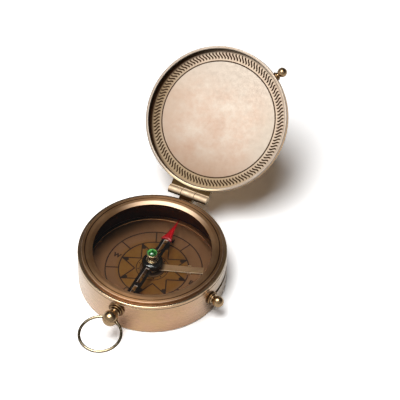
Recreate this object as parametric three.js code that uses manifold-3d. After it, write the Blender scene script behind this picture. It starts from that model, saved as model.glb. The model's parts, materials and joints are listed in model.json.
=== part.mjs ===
// Lidded brass pocket compass with a needle lock, standing open.
// Millimetres, +Z up. The origin is the centre of the case's flat underside.
// +Y points to the hinge (north on the dial), -Y to the carrying ring, +X to east.

import * as THREE from "three";
import { mergeVertices } from "three/addons/utils/BufferGeometryUtils.js";
import Module from "manifold-3d";

const wasm = await Module();
wasm.setup();

// Clearances
const SEAT_GAP = 0.05;
const FIT_GAP = 0.15;
const LEAF_GAP = 0.2;
const RUN_GAP = 0.3;

// How far a cutting tool runs past the face that it cuts
const CUT_MARGIN = 1.0;

// Case
const CASE_RADIUS = 37.5;
const CASE_HEIGHT = 19.4;
const CASE_FLOOR = 1.2;
const BODY_WALL = 3.3;
const RIM_WALL = 1.9;
const LEDGE_WIDTH = 1.2;
const UNDER_DIAL_SPACE = 2.8;
const FOOT_CHAMFER = 0.6;
const BEAD_HEIGHT = 1.5;
const BEAD_ROUND = 0.5;
const GROOVE_DEPTH = 0.3;
const GROOVE_HEIGHT = 0.6;

// Glass and bezel
const GASKET_THICKNESS = 0.3;
const CRYSTAL_THICKNESS = 1.2;
const GLASS_SEAT_DEPTH = 1.1;
const BEZEL_SKIRT = 0.5;
const BEZEL_WIDTH = 5.5;
const BEZEL_RISE = 0.85;
const BEZEL_LIP = 0.35;

// Dial
const DIAL_THICKNESS = 1.15;
const DIAL_RING_WIDTH = 2.2;
const DIAL_RING_HEIGHT = 0.7;

// Pivot
const PIVOT_FLANGE_RADIUS = 6.0;
const PIVOT_FLANGE_HEIGHT = 0.3;
const PIVOT_RADIUS = 1.5;
const PIVOT_POST_HEIGHT = 3.2;
const PIVOT_SHANK_RADIUS = 1.9;
const POINT_RADIUS = 0.6;
const POINT_SEAT_DEPTH = 1.4;
const POINT_TAPER = 1.5;
const PIVOT_NUT_SIZE = 6.4;
const PIVOT_NUT_HEIGHT = 1.3;

// Lever that lifts the needle
const LEVER_AZIMUTH = 19.2;
const LEVER_WIDTH = 3.8;
const LEVER_THICKNESS = 0.5;
const LEVER_OVER_DIAL = 0.7;
const LEVER_EYE_BORE = 2.2;
const LEVER_EYE_RADIUS = 3.6;
const LEVER_WALL_GAP = 3.0;
const FULCRUM_DISTANCE = 18.6;
const LEVER_BARREL_RADIUS = 0.55;
const LEVER_PIN_RADIUS = 0.25;
const SADDLE_CHEEK = 0.5;
const SADDLE_LENGTH = 1.6;
const SADDLE_FLANGE = 0.9;
const SADDLE_FLANGE_THICKNESS = 0.55;
const NEEDLE_LIFT = 0.5;

// Needle lock on the wall
const LOCK_AZIMUTH = -12.3;
const LOCK_TRAVEL = 40.5;
const LOCK_HEIGHT = 10.3;
const SLOT_HEIGHT = 2.3;
const SHOE_THICKNESS = 0.9;
const SHOE_OVER_SLOT = 0.8;
const SHOE_END_ARC = 5.0;
const RAMP_WIDTH = 3.5;
const RAMP_THICKNESS = 1.0;
const LOCK_SHANK_RADIUS = 0.85;
const LOCK_NUT_SIZE = 3.4;
const LOCK_NUT_HEIGHT = 1.0;
const LOCK_BALL_RADIUS = 2.95;
const LOCK_BALL_REACH = 4.4;
const LOCK_FLANGE_RADIUS = 3.5;

// Needle
const NEEDLE_HEADING = -0.6;
const HUB_BORE = 1.9;
const HUB_FOOT_RADIUS = 2.8;
const HUB_FOOT_HEIGHT = 1.3;
const HUB_DISC_RADIUS = 5.3;
const HUB_DISC_HEIGHT = 1.4;
const HUB_NECK_RADIUS = 3.3;
const BLADE_THICKNESS = 0.8;
const BLADE_BAR = 1.4;
const BLADE_SLOT = 1.9;
const BLADE_TIP_GAP = 3.4;
const BLADE_TAIL_GAP = 7.0;
const BLADE_TAIL_TAPER = 3.0;
const BRIDGE_DISTANCE = 15.6;
const BRIDGE_LENGTH = 2.2;
const ARROW_LENGTH = 15.4;
const ARROW_WIDTH = 5.8;
const ARROW_NOTCH = 0.5;
const ARROW_LAP = 1.4;
const ARROW_EDGE = 0.5;
const ARROW_RISE = 0.9;
const DOME_HEIGHT = 1.3;
const BEARING_HEIGHT = 1.3;
const BEARING_RECESS = 1.2;
const CAP_FOOT_RADIUS = 3.1;
const CAP_FOOT_HEIGHT = 0.5;
const CAP_FLANGE_RADIUS = 2.5;
const CAP_FLANGE_HEIGHT = 0.6;
const CAP_NECK_RADIUS = 1.5;
const CAP_COLLAR_RADIUS = 2.8;
const CAP_COLLAR_HEIGHT = 0.8;
const JEWEL_RADIUS = 2.35;
const JEWEL_SEAT = 0.4;
const JEWEL_DOME = 1.2;

// Lid and hinge
const LID_OPEN_ANGLE = 140.2;
const LID_RADIUS = 37.3;
const LID_HEIGHT = 4.67;
const LID_WALL = 1.4;
const LID_TOP = 1.41;
const LID_ROUND = 0.9;
const HINGE_LENGTH = 21.3;
const HINGE_BARREL_RADIUS = 2.1;
const HINGE_PIN_RADIUS = 0.8;
const HINGE_RISE = 0.2;
const LEAF_THICKNESS = 1.1;
const LEAF_HEIGHT = 3.4;
const CASE_WEB_HEIGHT = 3.2;
const HEEL_LENGTH = 2.4;
const LID_KNOB_AZIMUTH = -53.8;
const LID_BALL_RADIUS = 2.55;
const LID_BALL_REACH = 3.95;
const LID_FLANGE_RADIUS = 2.3;
const LID_SHANK_RADIUS = 0.9;
const LID_SHANK_DEPTH = 1.0;

// Carrying ring
const RING_AZIMUTH = -91.5;
const RING_POST_HEIGHT = 13.6;
const RING_BALL_RADIUS = 4.05;
const RING_BALL_REACH = 7.0;
const RING_FLANGE_RADIUS = 4.2;
const RING_BEAD_RADIUS = 2.7;
const RING_SHANK_RADIUS = 1.3;
const RING_NUT_SIZE = 4.8;
const RING_NUT_HEIGHT = 1.2;
const RING_RADIUS = 10.4;
const RING_WIRE_RADIUS = 0.75;
const RING_DROOP = 5.0;

// Collars of the turned knobs
const FLANGE_THICKNESS = 0.8;
const COLLAR_LENGTH = 0.7;
const COLLAR_SHARE = 0.74;
const NECK_SHARE = 0.5;
const BEAD_FROM = 0.3;
const BEAD_TO = 0.75;

// Facets
const TURNED_STEPS = 60;
const SMALL_STEPS = 24;
const ARC_STEPS = 4;

const DEG = Math.PI / 180;
const HALF_PI = Math.PI / 2;
const WELD = 1e-4;

// Places that follow from the sizes above
const boreRadius = CASE_RADIUS - BODY_WALL;
const seatRadius = CASE_RADIUS - RIM_WALL;
const dialLedge = CASE_FLOOR + UNDER_DIAL_SPACE;
const dialBottom = dialLedge + SEAT_GAP;
const dialTop = dialBottom + DIAL_THICKNESS;
const glassSeat = CASE_HEIGHT - GLASS_SEAT_DEPTH;
const gasketBottom = glassSeat + SEAT_GAP;
const crystalBottom = gasketBottom + GASKET_THICKNESS + SEAT_GAP;
const crystalTop = crystalBottom + CRYSTAL_THICKNESS;
const bezelRadius = seatRadius - FIT_GAP;
const crystalRadius = bezelRadius - BEZEL_SKIRT - FIT_GAP;
const pivotFlangeTop = dialTop + SEAT_GAP + PIVOT_FLANGE_HEIGHT;
const pivotPostTop = pivotFlangeTop + PIVOT_POST_HEIGHT;
const leverBottom = dialTop + LEVER_OVER_DIAL;
const leverTop = leverBottom + LEVER_THICKNESS;
const leverAxis = leverTop - LEVER_BARREL_RADIUS;
const shoeOuter = boreRadius - RUN_GAP;
const shoeInner = shoeOuter - SHOE_THICKNESS;
const hubBottom = leverTop + RUN_GAP;
const hubDiscBottom = hubBottom + HUB_FOOT_HEIGHT;
const hubShoulder = hubDiscBottom + HUB_DISC_HEIGHT;
const bladeBottom = hubShoulder + SEAT_GAP;
const bladeTop = bladeBottom + BLADE_THICKNESS;
const bladeHalfWidth = BLADE_SLOT / 2 + BLADE_BAR;
const needleTip = boreRadius - BLADE_TIP_GAP;
const arrowBase = needleTip - ARROW_LENGTH;
const domeBottom = bladeTop + SEAT_GAP;
const domeTop = domeBottom + DOME_HEIGHT;
const hubNeckTop = domeBottom + DOME_HEIGHT / 2;
const capBottom = domeTop + SEAT_GAP;
const bearingBottom = hubNeckTop - BEARING_HEIGHT;
const capFootTop = capBottom + CAP_FOOT_HEIGHT;
const capFlangeTop = capFootTop + CAP_FLANGE_HEIGHT;
const jewelTop = crystalBottom - NEEDLE_LIFT - RUN_GAP;
const capTop = jewelTop - JEWEL_DOME;
const pointTip = bearingBottom + BEARING_HEIGHT / 2 - SEAT_GAP;
const lidRim = CASE_HEIGHT + RUN_GAP;
const lidTop = lidRim + LID_HEIGHT;
const lidMiddle = (lidRim + lidTop) / 2;
const hingeZ = CASE_HEIGHT + HINGE_RISE;
const hingeWall = Math.max(CASE_RADIUS, LID_RADIUS);
const hingeY = hingeWall + LEAF_GAP + LEAF_THICKNESS + RUN_GAP + HINGE_BARREL_RADIUS;
const knuckleLength = (HINGE_LENGTH - 2 * RUN_GAP) / 3;
const hingeBore = HINGE_PIN_RADIUS + FIT_GAP;
const ringBallRadial = CASE_RADIUS + RING_BALL_REACH;

const finish = (color, roughness, metalness) =>
  new THREE.MeshStandardMaterial({ color, roughness, metalness });
const agedBrass = finish(0x9a7a50, 0.38, 1);
const paleBrass = finish(0xb79a68, 0.35, 1);
const dialBrass = finish(0x8f7650, 0.45, 1);
const steel = finish(0xb8bcc0, 0.25, 1);
const blackLacquer = finish(0x15130f, 0.3, 0);
const redLacquer = finish(0xc01f26, 0.35, 0);
const glass = new THREE.MeshStandardMaterial({
  color: 0xe8f0ee,
  roughness: 0.05,
  metalness: 0,
  transparent: true,
  opacity: 0.25,
});
const greenGlass = finish(0x1f8f3c, 0.1, 0);
const agate = finish(0x7a4a32, 0.3, 0);
const rubber = finish(0x1c1a18, 0.8, 0);

const compass = new THREE.Group();

function part(parent, name, geometry, material) {
  const mesh = new THREE.Mesh(geometry, material);
  mesh.name = name;
  parent.add(mesh);
  return mesh;
}

// A turned solid: [radius, height] points go up the outside and back down the inside.
function turned(profile, steps) {
  const points = profile.map(([radius, z]) => new THREE.Vector2(radius, z));
  return new THREE.LatheGeometry(points, steps).rotateX(HALF_PI);
}

function turnedRing(profile, steps) {
  return turned([...profile, profile[0]], steps);
}

function arc(radius, z, size, from, to, steps = ARC_STEPS) {
  const points = [];
  for (let i = 0; i <= steps; i++) {
    const angle = (from + ((to - from) * i) / steps) * DEG;
    points.push([radius + size * Math.cos(angle), z + size * Math.sin(angle)]);
  }
  return points;
}

function plainRing(inner, outer, bottom, top, steps) {
  return turnedRing(
    [
      [inner, bottom],
      [outer, bottom],
      [outer, top],
      [inner, top],
    ],
    steps,
  );
}

function rod(radius, bottom, top, steps = SMALL_STEPS) {
  return turned(
    [
      [0, bottom],
      [radius, bottom],
      [radius, top],
      [0, top],
    ],
    steps,
  );
}

// A box from its lowest to its highest corner.
function block([x0, y0, z0], [x1, y1, z1]) {
  const box = new THREE.BoxGeometry(x1 - x0, y1 - y0, z1 - z0);
  return box.translate((x0 + x1) / 2, (y0 + y1) / 2, (z0 + z1) / 2);
}

function slab(shape, bottom, top, curveSegments = SMALL_STEPS) {
  const options = { depth: top - bottom, bevelEnabled: false, curveSegments };
  return new THREE.ExtrudeGeometry(shape, options).translate(0, 0, bottom);
}

// A stretch of ring wall between two azimuths in degrees.
function sector(inner, outer, from, to, bottom, top, steps) {
  const shape = new THREE.Shape();
  shape.absarc(0, 0, outer, from * DEG, to * DEG, false);
  shape.absarc(0, 0, inner, to * DEG, from * DEG, true);
  shape.closePath();
  return slab(shape, bottom, top, steps);
}

function hexNut(size, bore, bottom, top) {
  const corner = size / 2 / Math.cos(Math.PI / 6);
  const shape = new THREE.Shape();
  for (let i = 0; i < 6; i++) {
    const angle = i * 60 * DEG;
    const x = corner * Math.cos(angle);
    const y = corner * Math.sin(angle);
    if (i === 0) shape.moveTo(x, y);
    else shape.lineTo(x, y);
  }
  shape.closePath();
  shape.holes.push(new THREE.Path().absarc(0, 0, bore, 0, 2 * Math.PI, true));
  return slab(shape, bottom, top, SMALL_STEPS);
}

function solid(geometry) {
  const bare = geometry.clone();
  bare.deleteAttribute("normal");
  bare.deleteAttribute("uv");
  const welded = mergeVertices(bare, WELD);
  const index = welded.index.array;
  const triangles = [];
  for (let i = 0; i < index.length; i += 3) {
    const [a, b, c] = [index[i], index[i + 1], index[i + 2]];
    if (a !== b && b !== c && c !== a) triangles.push(a, b, c);
  }
  const vertProperties = new Float32Array(welded.attributes.position.array);
  const triVerts = new Uint32Array(triangles);
  return new wasm.Manifold(new wasm.Mesh({ numProp: 3, vertProperties, triVerts }));
}

function shell(manifold) {
  const mesh = manifold.getMesh();
  const geometry = new THREE.BufferGeometry();
  geometry.setAttribute("position", new THREE.BufferAttribute(mesh.vertProperties, 3));
  geometry.setIndex(new THREE.BufferAttribute(mesh.triVerts, 1));
  return geometry;
}

function join(geometries) {
  return shell(geometries.map(solid).reduce((sum, next) => sum.add(next)));
}

function cut(geometry, tools) {
  return shell(tools.map(solid).reduce((rest, tool) => rest.subtract(tool), solid(geometry)));
}

// Turns a piece made along +Z so that it points outward, at an azimuth and a height.
function pointOutward(geometry, azimuth, height) {
  return geometry
    .rotateY(HALF_PI)
    .translate(0, 0, height)
    .rotateZ(azimuth * DEG);
}

// A turned post from a wall outwards: shank, flange, collar, bead if any, and ball, along +Z.
function ballPost({ wall, shank, shankEnd, gap, flange, bead, ball, reach }) {
  const collar = flange * COLLAR_SHARE;
  const neck = ball * NECK_SHARE;
  const flangeTop = wall + gap + FLANGE_THICKNESS;
  const collarTop = flangeTop + COLLAR_LENGTH;
  const neckAngle = -Math.acos(NECK_SHARE) / DEG;
  const neckEnd = wall + reach + ball * Math.sin(neckAngle * DEG);
  const beadBottom = collarTop + (neckEnd - collarTop) * BEAD_FROM;
  const beadTop = collarTop + (neckEnd - collarTop) * BEAD_TO;
  const beadSteps = [
    [neck, beadBottom],
    [bead, beadBottom],
    [bead, beadTop],
    [neck, beadTop],
  ];
  return turned(
    [
      [0, shankEnd],
      [shank, shankEnd],
      [shank, wall + gap],
      [flange, wall + gap],
      [flange, flangeTop],
      [collar, flangeTop],
      [collar, collarTop],
      [neck, collarTop],
      ...(bead ? beadSteps : []),
      ...arc(0, wall + reach, ball, neckAngle, 90, 2 * ARC_STEPS).slice(0, -1),
      [0, wall + reach + ball],
    ],
    SMALL_STEPS,
  );
}

function caseBody() {
  const beadBottom = CASE_HEIGHT - BEAD_HEIGHT;
  const grooveBottom = beadBottom - GROOVE_HEIGHT;
  const cup = turned(
    [
      [0, 0],
      [CASE_RADIUS - FOOT_CHAMFER, 0],
      [CASE_RADIUS, FOOT_CHAMFER],
      [CASE_RADIUS, grooveBottom],
      [CASE_RADIUS - GROOVE_DEPTH, grooveBottom + GROOVE_HEIGHT / 3],
      [CASE_RADIUS - GROOVE_DEPTH, beadBottom - GROOVE_HEIGHT / 3],
      [CASE_RADIUS, beadBottom],
      ...arc(CASE_RADIUS - BEAD_ROUND, CASE_HEIGHT - BEAD_ROUND, BEAD_ROUND, 0, 90, 3),
      [seatRadius, CASE_HEIGHT],
      [seatRadius, glassSeat],
      [boreRadius, glassSeat],
      [boreRadius, dialLedge],
      [boreRadius - LEDGE_WIDTH, dialLedge],
      [boreRadius - LEDGE_WIDTH, CASE_FLOOR],
      [0, CASE_FLOOR],
    ],
    TURNED_STEPS,
  );
  const slotEnd = (LOCK_SHANK_RADIUS + RUN_GAP) / CASE_RADIUS / DEG;
  const slot = sector(
    boreRadius - CUT_MARGIN,
    CASE_RADIUS + CUT_MARGIN,
    LOCK_AZIMUTH - slotEnd,
    LOCK_AZIMUTH + LOCK_TRAVEL + slotEnd,
    LOCK_HEIGHT - SLOT_HEIGHT / 2,
    LOCK_HEIGHT + SLOT_HEIGHT / 2,
    ARC_STEPS * 3,
  );
  const postHole = pointOutward(
    rod(RING_SHANK_RADIUS + FIT_GAP, boreRadius - CUT_MARGIN, CASE_RADIUS + CUT_MARGIN),
    RING_AZIMUTH,
    RING_POST_HEIGHT,
  );
  return cut(cup, [slot, postHole]);
}

function dialPlate() {
  const disc = turned(
    [
      [0, dialBottom],
      [boreRadius - FIT_GAP, dialBottom],
      [boreRadius - FIT_GAP, dialTop],
      [0, dialTop],
    ],
    TURNED_STEPS,
  );
  const pivotHole = rod(PIVOT_SHANK_RADIUS + FIT_GAP, dialLedge - CUT_MARGIN, dialTop + CUT_MARGIN);
  const halfWidth = saddleHalfWidth() + FIT_GAP;
  const halfLength = SADDLE_LENGTH / 2 + FIT_GAP;
  const window = block(
    [FULCRUM_DISTANCE - halfLength, -halfWidth, dialLedge - CUT_MARGIN],
    [FULCRUM_DISTANCE + halfLength, halfWidth, dialTop + CUT_MARGIN],
  ).rotateZ(LEVER_AZIMUTH * DEG);
  return cut(disc, [pivotHole, window]);
}

function saddleHalfWidth() {
  return LEVER_WIDTH / 2 + RUN_GAP + SADDLE_CHEEK;
}

function leverSaddle() {
  const outer = saddleHalfWidth();
  const inner = outer - SADDLE_CHEEK;
  const start = FULCRUM_DISTANCE - SADDLE_LENGTH / 2;
  const end = FULCRUM_DISTANCE + SADDLE_LENGTH / 2;
  const flangeTop = dialBottom - SEAT_GAP;
  const seatTop = leverAxis - LEVER_BARREL_RADIUS - RUN_GAP;
  const pieces = [
    block([start, -outer, flangeTop - SADDLE_FLANGE_THICKNESS], [end, outer, seatTop]),
    block(
      [start - SADDLE_FLANGE, -outer - SADDLE_FLANGE, flangeTop - SADDLE_FLANGE_THICKNESS],
      [end + SADDLE_FLANGE, outer + SADDLE_FLANGE, flangeTop],
    ),
    block([start, inner, flangeTop - SADDLE_FLANGE_THICKNESS], [end, outer, leverTop]),
    block([start, -outer, flangeTop - SADDLE_FLANGE_THICKNESS], [end, -inner, leverTop]),
  ];
  const bore = crossRod(LEVER_PIN_RADIUS + FIT_GAP, outer + CUT_MARGIN);
  return cut(join(pieces), [bore]).rotateZ(LEVER_AZIMUTH * DEG);
}

// A rod along Y through the lever's fulcrum.
function crossRod(radius, halfLength) {
  return rod(radius, -halfLength, halfLength, SMALL_STEPS / 2)
    .rotateX(HALF_PI)
    .translate(FULCRUM_DISTANCE, 0, leverAxis);
}

function lockLever() {
  const half = LEVER_WIDTH / 2;
  const rootAngle = Math.asin(half / LEVER_EYE_RADIUS);
  const end = boreRadius - LEVER_WALL_GAP;
  const outline = new THREE.Shape();
  outline.moveTo(end, -half);
  outline.lineTo(end, half);
  outline.absarc(0, 0, LEVER_EYE_RADIUS, rootAngle, 2 * Math.PI - rootAngle, false);
  outline.closePath();
  outline.holes.push(new THREE.Path().absarc(0, 0, LEVER_EYE_BORE, 0, 2 * Math.PI, true));
  const strip = slab(outline, leverBottom, leverTop);
  const barrel = crossRod(LEVER_BARREL_RADIUS, half);
  const bore = crossRod(LEVER_PIN_RADIUS + FIT_GAP, half + CUT_MARGIN);
  return cut(join([strip, barrel]), [bore]).rotateZ(LEVER_AZIMUTH * DEG);
}

// The shoe slides behind the slot. Its ramp presses the lever's outer end down along the way.
function lockSlider() {
  const from = LEVER_AZIMUTH - LOCK_TRAVEL - SHOE_END_ARC;
  const to = LEVER_AZIMUTH + SHOE_END_ARC;
  const steps = ARC_STEPS * 4;
  const rampInner = shoeOuter - RAMP_WIDTH;
  const fullTilt = Math.asin(NEEDLE_LIFT / FULCRUM_DISTANCE);
  const fullDrop = (rampInner - FULCRUM_DISTANCE) * Math.sin(fullTilt);
  const rampTop = leverTop + RUN_GAP + RAMP_THICKNESS;
  const ramp = sector(rampInner, shoeOuter, from, to, leverTop, rampTop, steps);
  const places = ramp.attributes.position;
  for (let i = 0; i < places.count; i++) {
    if (places.getZ(i) > leverTop + SEAT_GAP) continue;
    const azimuth = Math.atan2(places.getY(i), places.getX(i)) / DEG;
    const slide = (LEVER_AZIMUTH - azimuth) / LOCK_TRAVEL;
    places.setZ(i, leverTop + RUN_GAP - fullDrop * slide);
  }
  const shoeTop = LOCK_HEIGHT + SLOT_HEIGHT / 2 + SHOE_OVER_SLOT;
  const overlap = RAMP_THICKNESS / 2;
  const wall = sector(shoeInner, shoeOuter, from, to, rampTop - overlap, shoeTop, steps);
  const hole = rod(LOCK_SHANK_RADIUS + FIT_GAP, shoeInner - CUT_MARGIN, shoeOuter + CUT_MARGIN);
  return cut(join([ramp, wall]), [pointOutward(hole, LOCK_AZIMUTH, LOCK_HEIGHT)]);
}

function lockKnob() {
  const post = ballPost({
    wall: CASE_RADIUS,
    shank: LOCK_SHANK_RADIUS,
    shankEnd: shoeInner - LOCK_NUT_HEIGHT - 2 * RUN_GAP,
    gap: RUN_GAP,
    flange: LOCK_FLANGE_RADIUS,
    ball: LOCK_BALL_RADIUS,
    reach: LOCK_BALL_REACH,
  });
  return pointOutward(post, LOCK_AZIMUTH, LOCK_HEIGHT);
}

function lockNut() {
  const top = shoeInner * Math.cos(LOCK_NUT_SIZE / 2 / shoeInner) - FIT_GAP;
  const nut = hexNut(LOCK_NUT_SIZE, LOCK_SHANK_RADIUS + FIT_GAP, top - LOCK_NUT_HEIGHT, top);
  return pointOutward(nut, LOCK_AZIMUTH, LOCK_HEIGHT);
}

function bezelRing() {
  const bottom = gasketBottom + GASKET_THICKNESS + SEAT_GAP;
  const lipBottom = crystalTop + SEAT_GAP;
  const inner = bezelRadius - BEZEL_WIDTH;
  const crown = [];
  const steps = 2 * ARC_STEPS;
  for (let i = 0; i <= steps; i++) {
    const angle = (180 * i * DEG) / steps;
    const across = (1 + Math.cos(angle)) / 2;
    const rise = BEZEL_LIP + (BEZEL_RISE - BEZEL_LIP) * Math.sin(angle);
    crown.push([inner + BEZEL_WIDTH * across, lipBottom + rise]);
  }
  const skirtInner = bezelRadius - BEZEL_SKIRT;
  const profile = [[skirtInner, bottom], [bezelRadius, bottom], ...crown];
  profile.push([inner, lipBottom], [skirtInner, lipBottom]);
  return turnedRing(profile, TURNED_STEPS);
}

function pivotPost() {
  const nutBottom = dialBottom - SEAT_GAP - PIVOT_NUT_HEIGHT;
  const post = turned(
    [
      [0, nutBottom - RUN_GAP],
      [PIVOT_SHANK_RADIUS, nutBottom - RUN_GAP],
      [PIVOT_SHANK_RADIUS, dialTop + SEAT_GAP],
      [PIVOT_FLANGE_RADIUS, dialTop + SEAT_GAP],
      [PIVOT_FLANGE_RADIUS, pivotFlangeTop],
      [PIVOT_RADIUS, pivotFlangeTop],
      [PIVOT_RADIUS, pivotPostTop],
      [0, pivotPostTop],
    ],
    SMALL_STEPS,
  );
  const seatBottom = pivotPostTop - POINT_SEAT_DEPTH;
  const seat = rod(POINT_RADIUS + FIT_GAP, seatBottom, pivotPostTop + CUT_MARGIN);
  return cut(post, [seat]);
}

function pivotPoint() {
  const bottom = pivotPostTop - POINT_SEAT_DEPTH + SEAT_GAP;
  return turned(
    [
      [0, bottom],
      [POINT_RADIUS, bottom],
      [POINT_RADIUS, pointTip - POINT_TAPER],
      [0, pointTip],
    ],
    SMALL_STEPS / 2,
  );
}

function needleHub() {
  return turnedRing(
    [
      [HUB_BORE, hubBottom],
      [HUB_FOOT_RADIUS, hubBottom],
      [HUB_FOOT_RADIUS, hubDiscBottom],
      [HUB_DISC_RADIUS, hubDiscBottom],
      [HUB_DISC_RADIUS, hubShoulder],
      [HUB_NECK_RADIUS, hubShoulder],
      [HUB_NECK_RADIUS, hubNeckTop],
      [HUB_BORE, hubNeckTop],
    ],
    SMALL_STEPS,
  );
}

function needleBlade() {
  const eye = new THREE.Shape().absarc(0, 0, HUB_DISC_RADIUS, 0, 2 * Math.PI, false);
  const bore = HUB_NECK_RADIUS + FIT_GAP;
  eye.holes.push(new THREE.Path().absarc(0, 0, bore, 0, 2 * Math.PI, true));
  const root = (HUB_NECK_RADIUS + HUB_DISC_RADIUS) / 2;
  const northEnd = arrowBase + ARROW_LAP + ARROW_NOTCH;
  const tailEnd = boreRadius - BLADE_TAIL_GAP;
  const tailRoot = tailEnd - BLADE_TAIL_TAPER;
  const bridgeEnd = BRIDGE_DISTANCE + BRIDGE_LENGTH;
  const tail = new THREE.Shape();
  tail.moveTo(-bladeHalfWidth, -tailRoot);
  tail.lineTo(-bladeHalfWidth, -tailRoot - BLADE_BAR);
  tail.lineTo(0, -tailEnd);
  tail.lineTo(bladeHalfWidth, -tailRoot - BLADE_BAR);
  tail.lineTo(bladeHalfWidth, -tailRoot);
  tail.closePath();
  const pieces = [
    slab(eye, bladeBottom, bladeTop),
    slab(tail, bladeBottom, bladeTop),
    block([-bladeHalfWidth, northEnd - BLADE_BAR, bladeBottom], [bladeHalfWidth, northEnd, bladeTop]),
    block([-bladeHalfWidth, -bridgeEnd, bladeBottom], [bladeHalfWidth, -BRIDGE_DISTANCE, bladeTop]),
  ];
  for (const side of [-1, 1]) {
    const edges = [side * (BLADE_SLOT / 2), side * bladeHalfWidth].sort((a, b) => a - b);
    pieces.push(block([edges[0], root, bladeBottom], [edges[1], northEnd, bladeTop]));
    pieces.push(block([edges[0], -tailRoot - BLADE_BAR, bladeBottom], [edges[1], -root, bladeTop]));
  }
  return join(pieces);
}

// The arrow has a ridge along its middle, which falls to the tip.
function northArrow() {
  const half = ARROW_WIDTH / 2;
  const waist = arrowBase + ARROW_LENGTH / 3;
  const bottom = bladeTop + SEAT_GAP;
  const halves = [-1, 1].map((side) => {
    const outline = new THREE.Shape();
    outline.moveTo(0, arrowBase + ARROW_NOTCH);
    outline.lineTo(side * half, arrowBase);
    outline.quadraticCurveTo((side * half) / 3, waist, 0, needleTip);
    outline.closePath();
    const facet = slab(outline, bottom, bottom + ARROW_EDGE, 2 * ARC_STEPS);
    const places = facet.attributes.position;
    for (let i = 0; i < places.count; i++) {
      const onTop = places.getZ(i) > bottom + WELD;
      const onRidge = Math.abs(places.getX(i)) < WELD && places.getY(i) < needleTip - WELD;
      if (onTop && onRidge) places.setZ(i, bottom + ARROW_EDGE + ARROW_RISE);
    }
    return facet;
  });
  return join(halves);
}

function hubDome() {
  const inner = HUB_NECK_RADIUS + FIT_GAP;
  const top = CAP_FOOT_RADIUS;
  const outside = [];
  const steps = ARC_STEPS + 1;
  for (let i = 0; i <= steps; i++) {
    const angle = (90 * i * DEG) / steps;
    const radius = top + (HUB_DISC_RADIUS - top) * Math.cos(angle);
    outside.push([radius, domeBottom + DOME_HEIGHT * Math.sin(angle)]);
  }
  const roof = hubNeckTop + SEAT_GAP;
  const profile = [[inner, domeBottom], ...outside];
  profile.push([HUB_BORE, domeTop], [HUB_BORE, roof], [inner, roof]);
  return turnedRing(profile, SMALL_STEPS);
}

function needleCap() {
  const collarBottom = capTop - CAP_COLLAR_HEIGHT;
  const seat = JEWEL_RADIUS + FIT_GAP;
  return turned(
    [
      [0, hubNeckTop + SEAT_GAP],
      [HUB_BORE - FIT_GAP, hubNeckTop + SEAT_GAP],
      [HUB_BORE - FIT_GAP, capBottom],
      [CAP_FOOT_RADIUS, capBottom],
      [CAP_FOOT_RADIUS, capFootTop],
      [CAP_FLANGE_RADIUS, capFootTop],
      [CAP_FLANGE_RADIUS, capFlangeTop],
      [CAP_NECK_RADIUS, capFlangeTop],
      [CAP_NECK_RADIUS, collarBottom],
      [CAP_COLLAR_RADIUS, collarBottom],
      [CAP_COLLAR_RADIUS, capTop],
      [seat, capTop],
      [seat, capTop - JEWEL_SEAT],
      [0, capTop - JEWEL_SEAT],
    ],
    SMALL_STEPS,
  );
}

function capJewel() {
  const bottom = capTop - JEWEL_SEAT + SEAT_GAP;
  const dome = [];
  for (let i = 0; i < ARC_STEPS; i++) {
    const angle = (90 * i * DEG) / ARC_STEPS;
    dome.push([JEWEL_RADIUS * Math.cos(angle), capTop + JEWEL_DOME * Math.sin(angle)]);
  }
  return turned([[0, bottom], [JEWEL_RADIUS, bottom], ...dome, [0, jewelTop]], SMALL_STEPS);
}

function bearingCup() {
  const outer = HUB_BORE - FIT_GAP;
  return turned(
    [
      [0, bearingBottom + BEARING_HEIGHT / 2],
      [BEARING_RECESS, bearingBottom],
      [outer, bearingBottom],
      [outer, hubNeckTop - SEAT_GAP],
      [0, hubNeckTop - SEAT_GAP],
    ],
    SMALL_STEPS,
  );
}

function lidShell() {
  const inner = LID_RADIUS - LID_WALL;
  const dish = turned(
    [
      [0, lidTop - LID_TOP],
      [inner, lidTop - LID_TOP],
      [inner, lidRim],
      [LID_RADIUS, lidRim],
      ...arc(LID_RADIUS - LID_ROUND, lidTop - LID_ROUND, LID_ROUND, 0, 90),
      [0, lidTop],
    ],
    TURNED_STEPS,
  );
  const holeEnd = LID_RADIUS - LID_SHANK_DEPTH;
  const hole = rod(LID_SHANK_RADIUS + FIT_GAP, holeEnd, LID_RADIUS + CUT_MARGIN);
  return cut(dish, [pointOutward(hole, LID_KNOB_AZIMUTH, lidMiddle)]);
}

function lidKnob() {
  const post = ballPost({
    wall: LID_RADIUS,
    shank: LID_SHANK_RADIUS,
    shankEnd: LID_RADIUS - LID_SHANK_DEPTH + FIT_GAP,
    gap: LEAF_GAP,
    flange: LID_FLANGE_RADIUS,
    ball: LID_BALL_RADIUS,
    reach: LID_BALL_REACH,
  });
  return pointOutward(post, LID_KNOB_AZIMUTH, lidMiddle);
}

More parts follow.
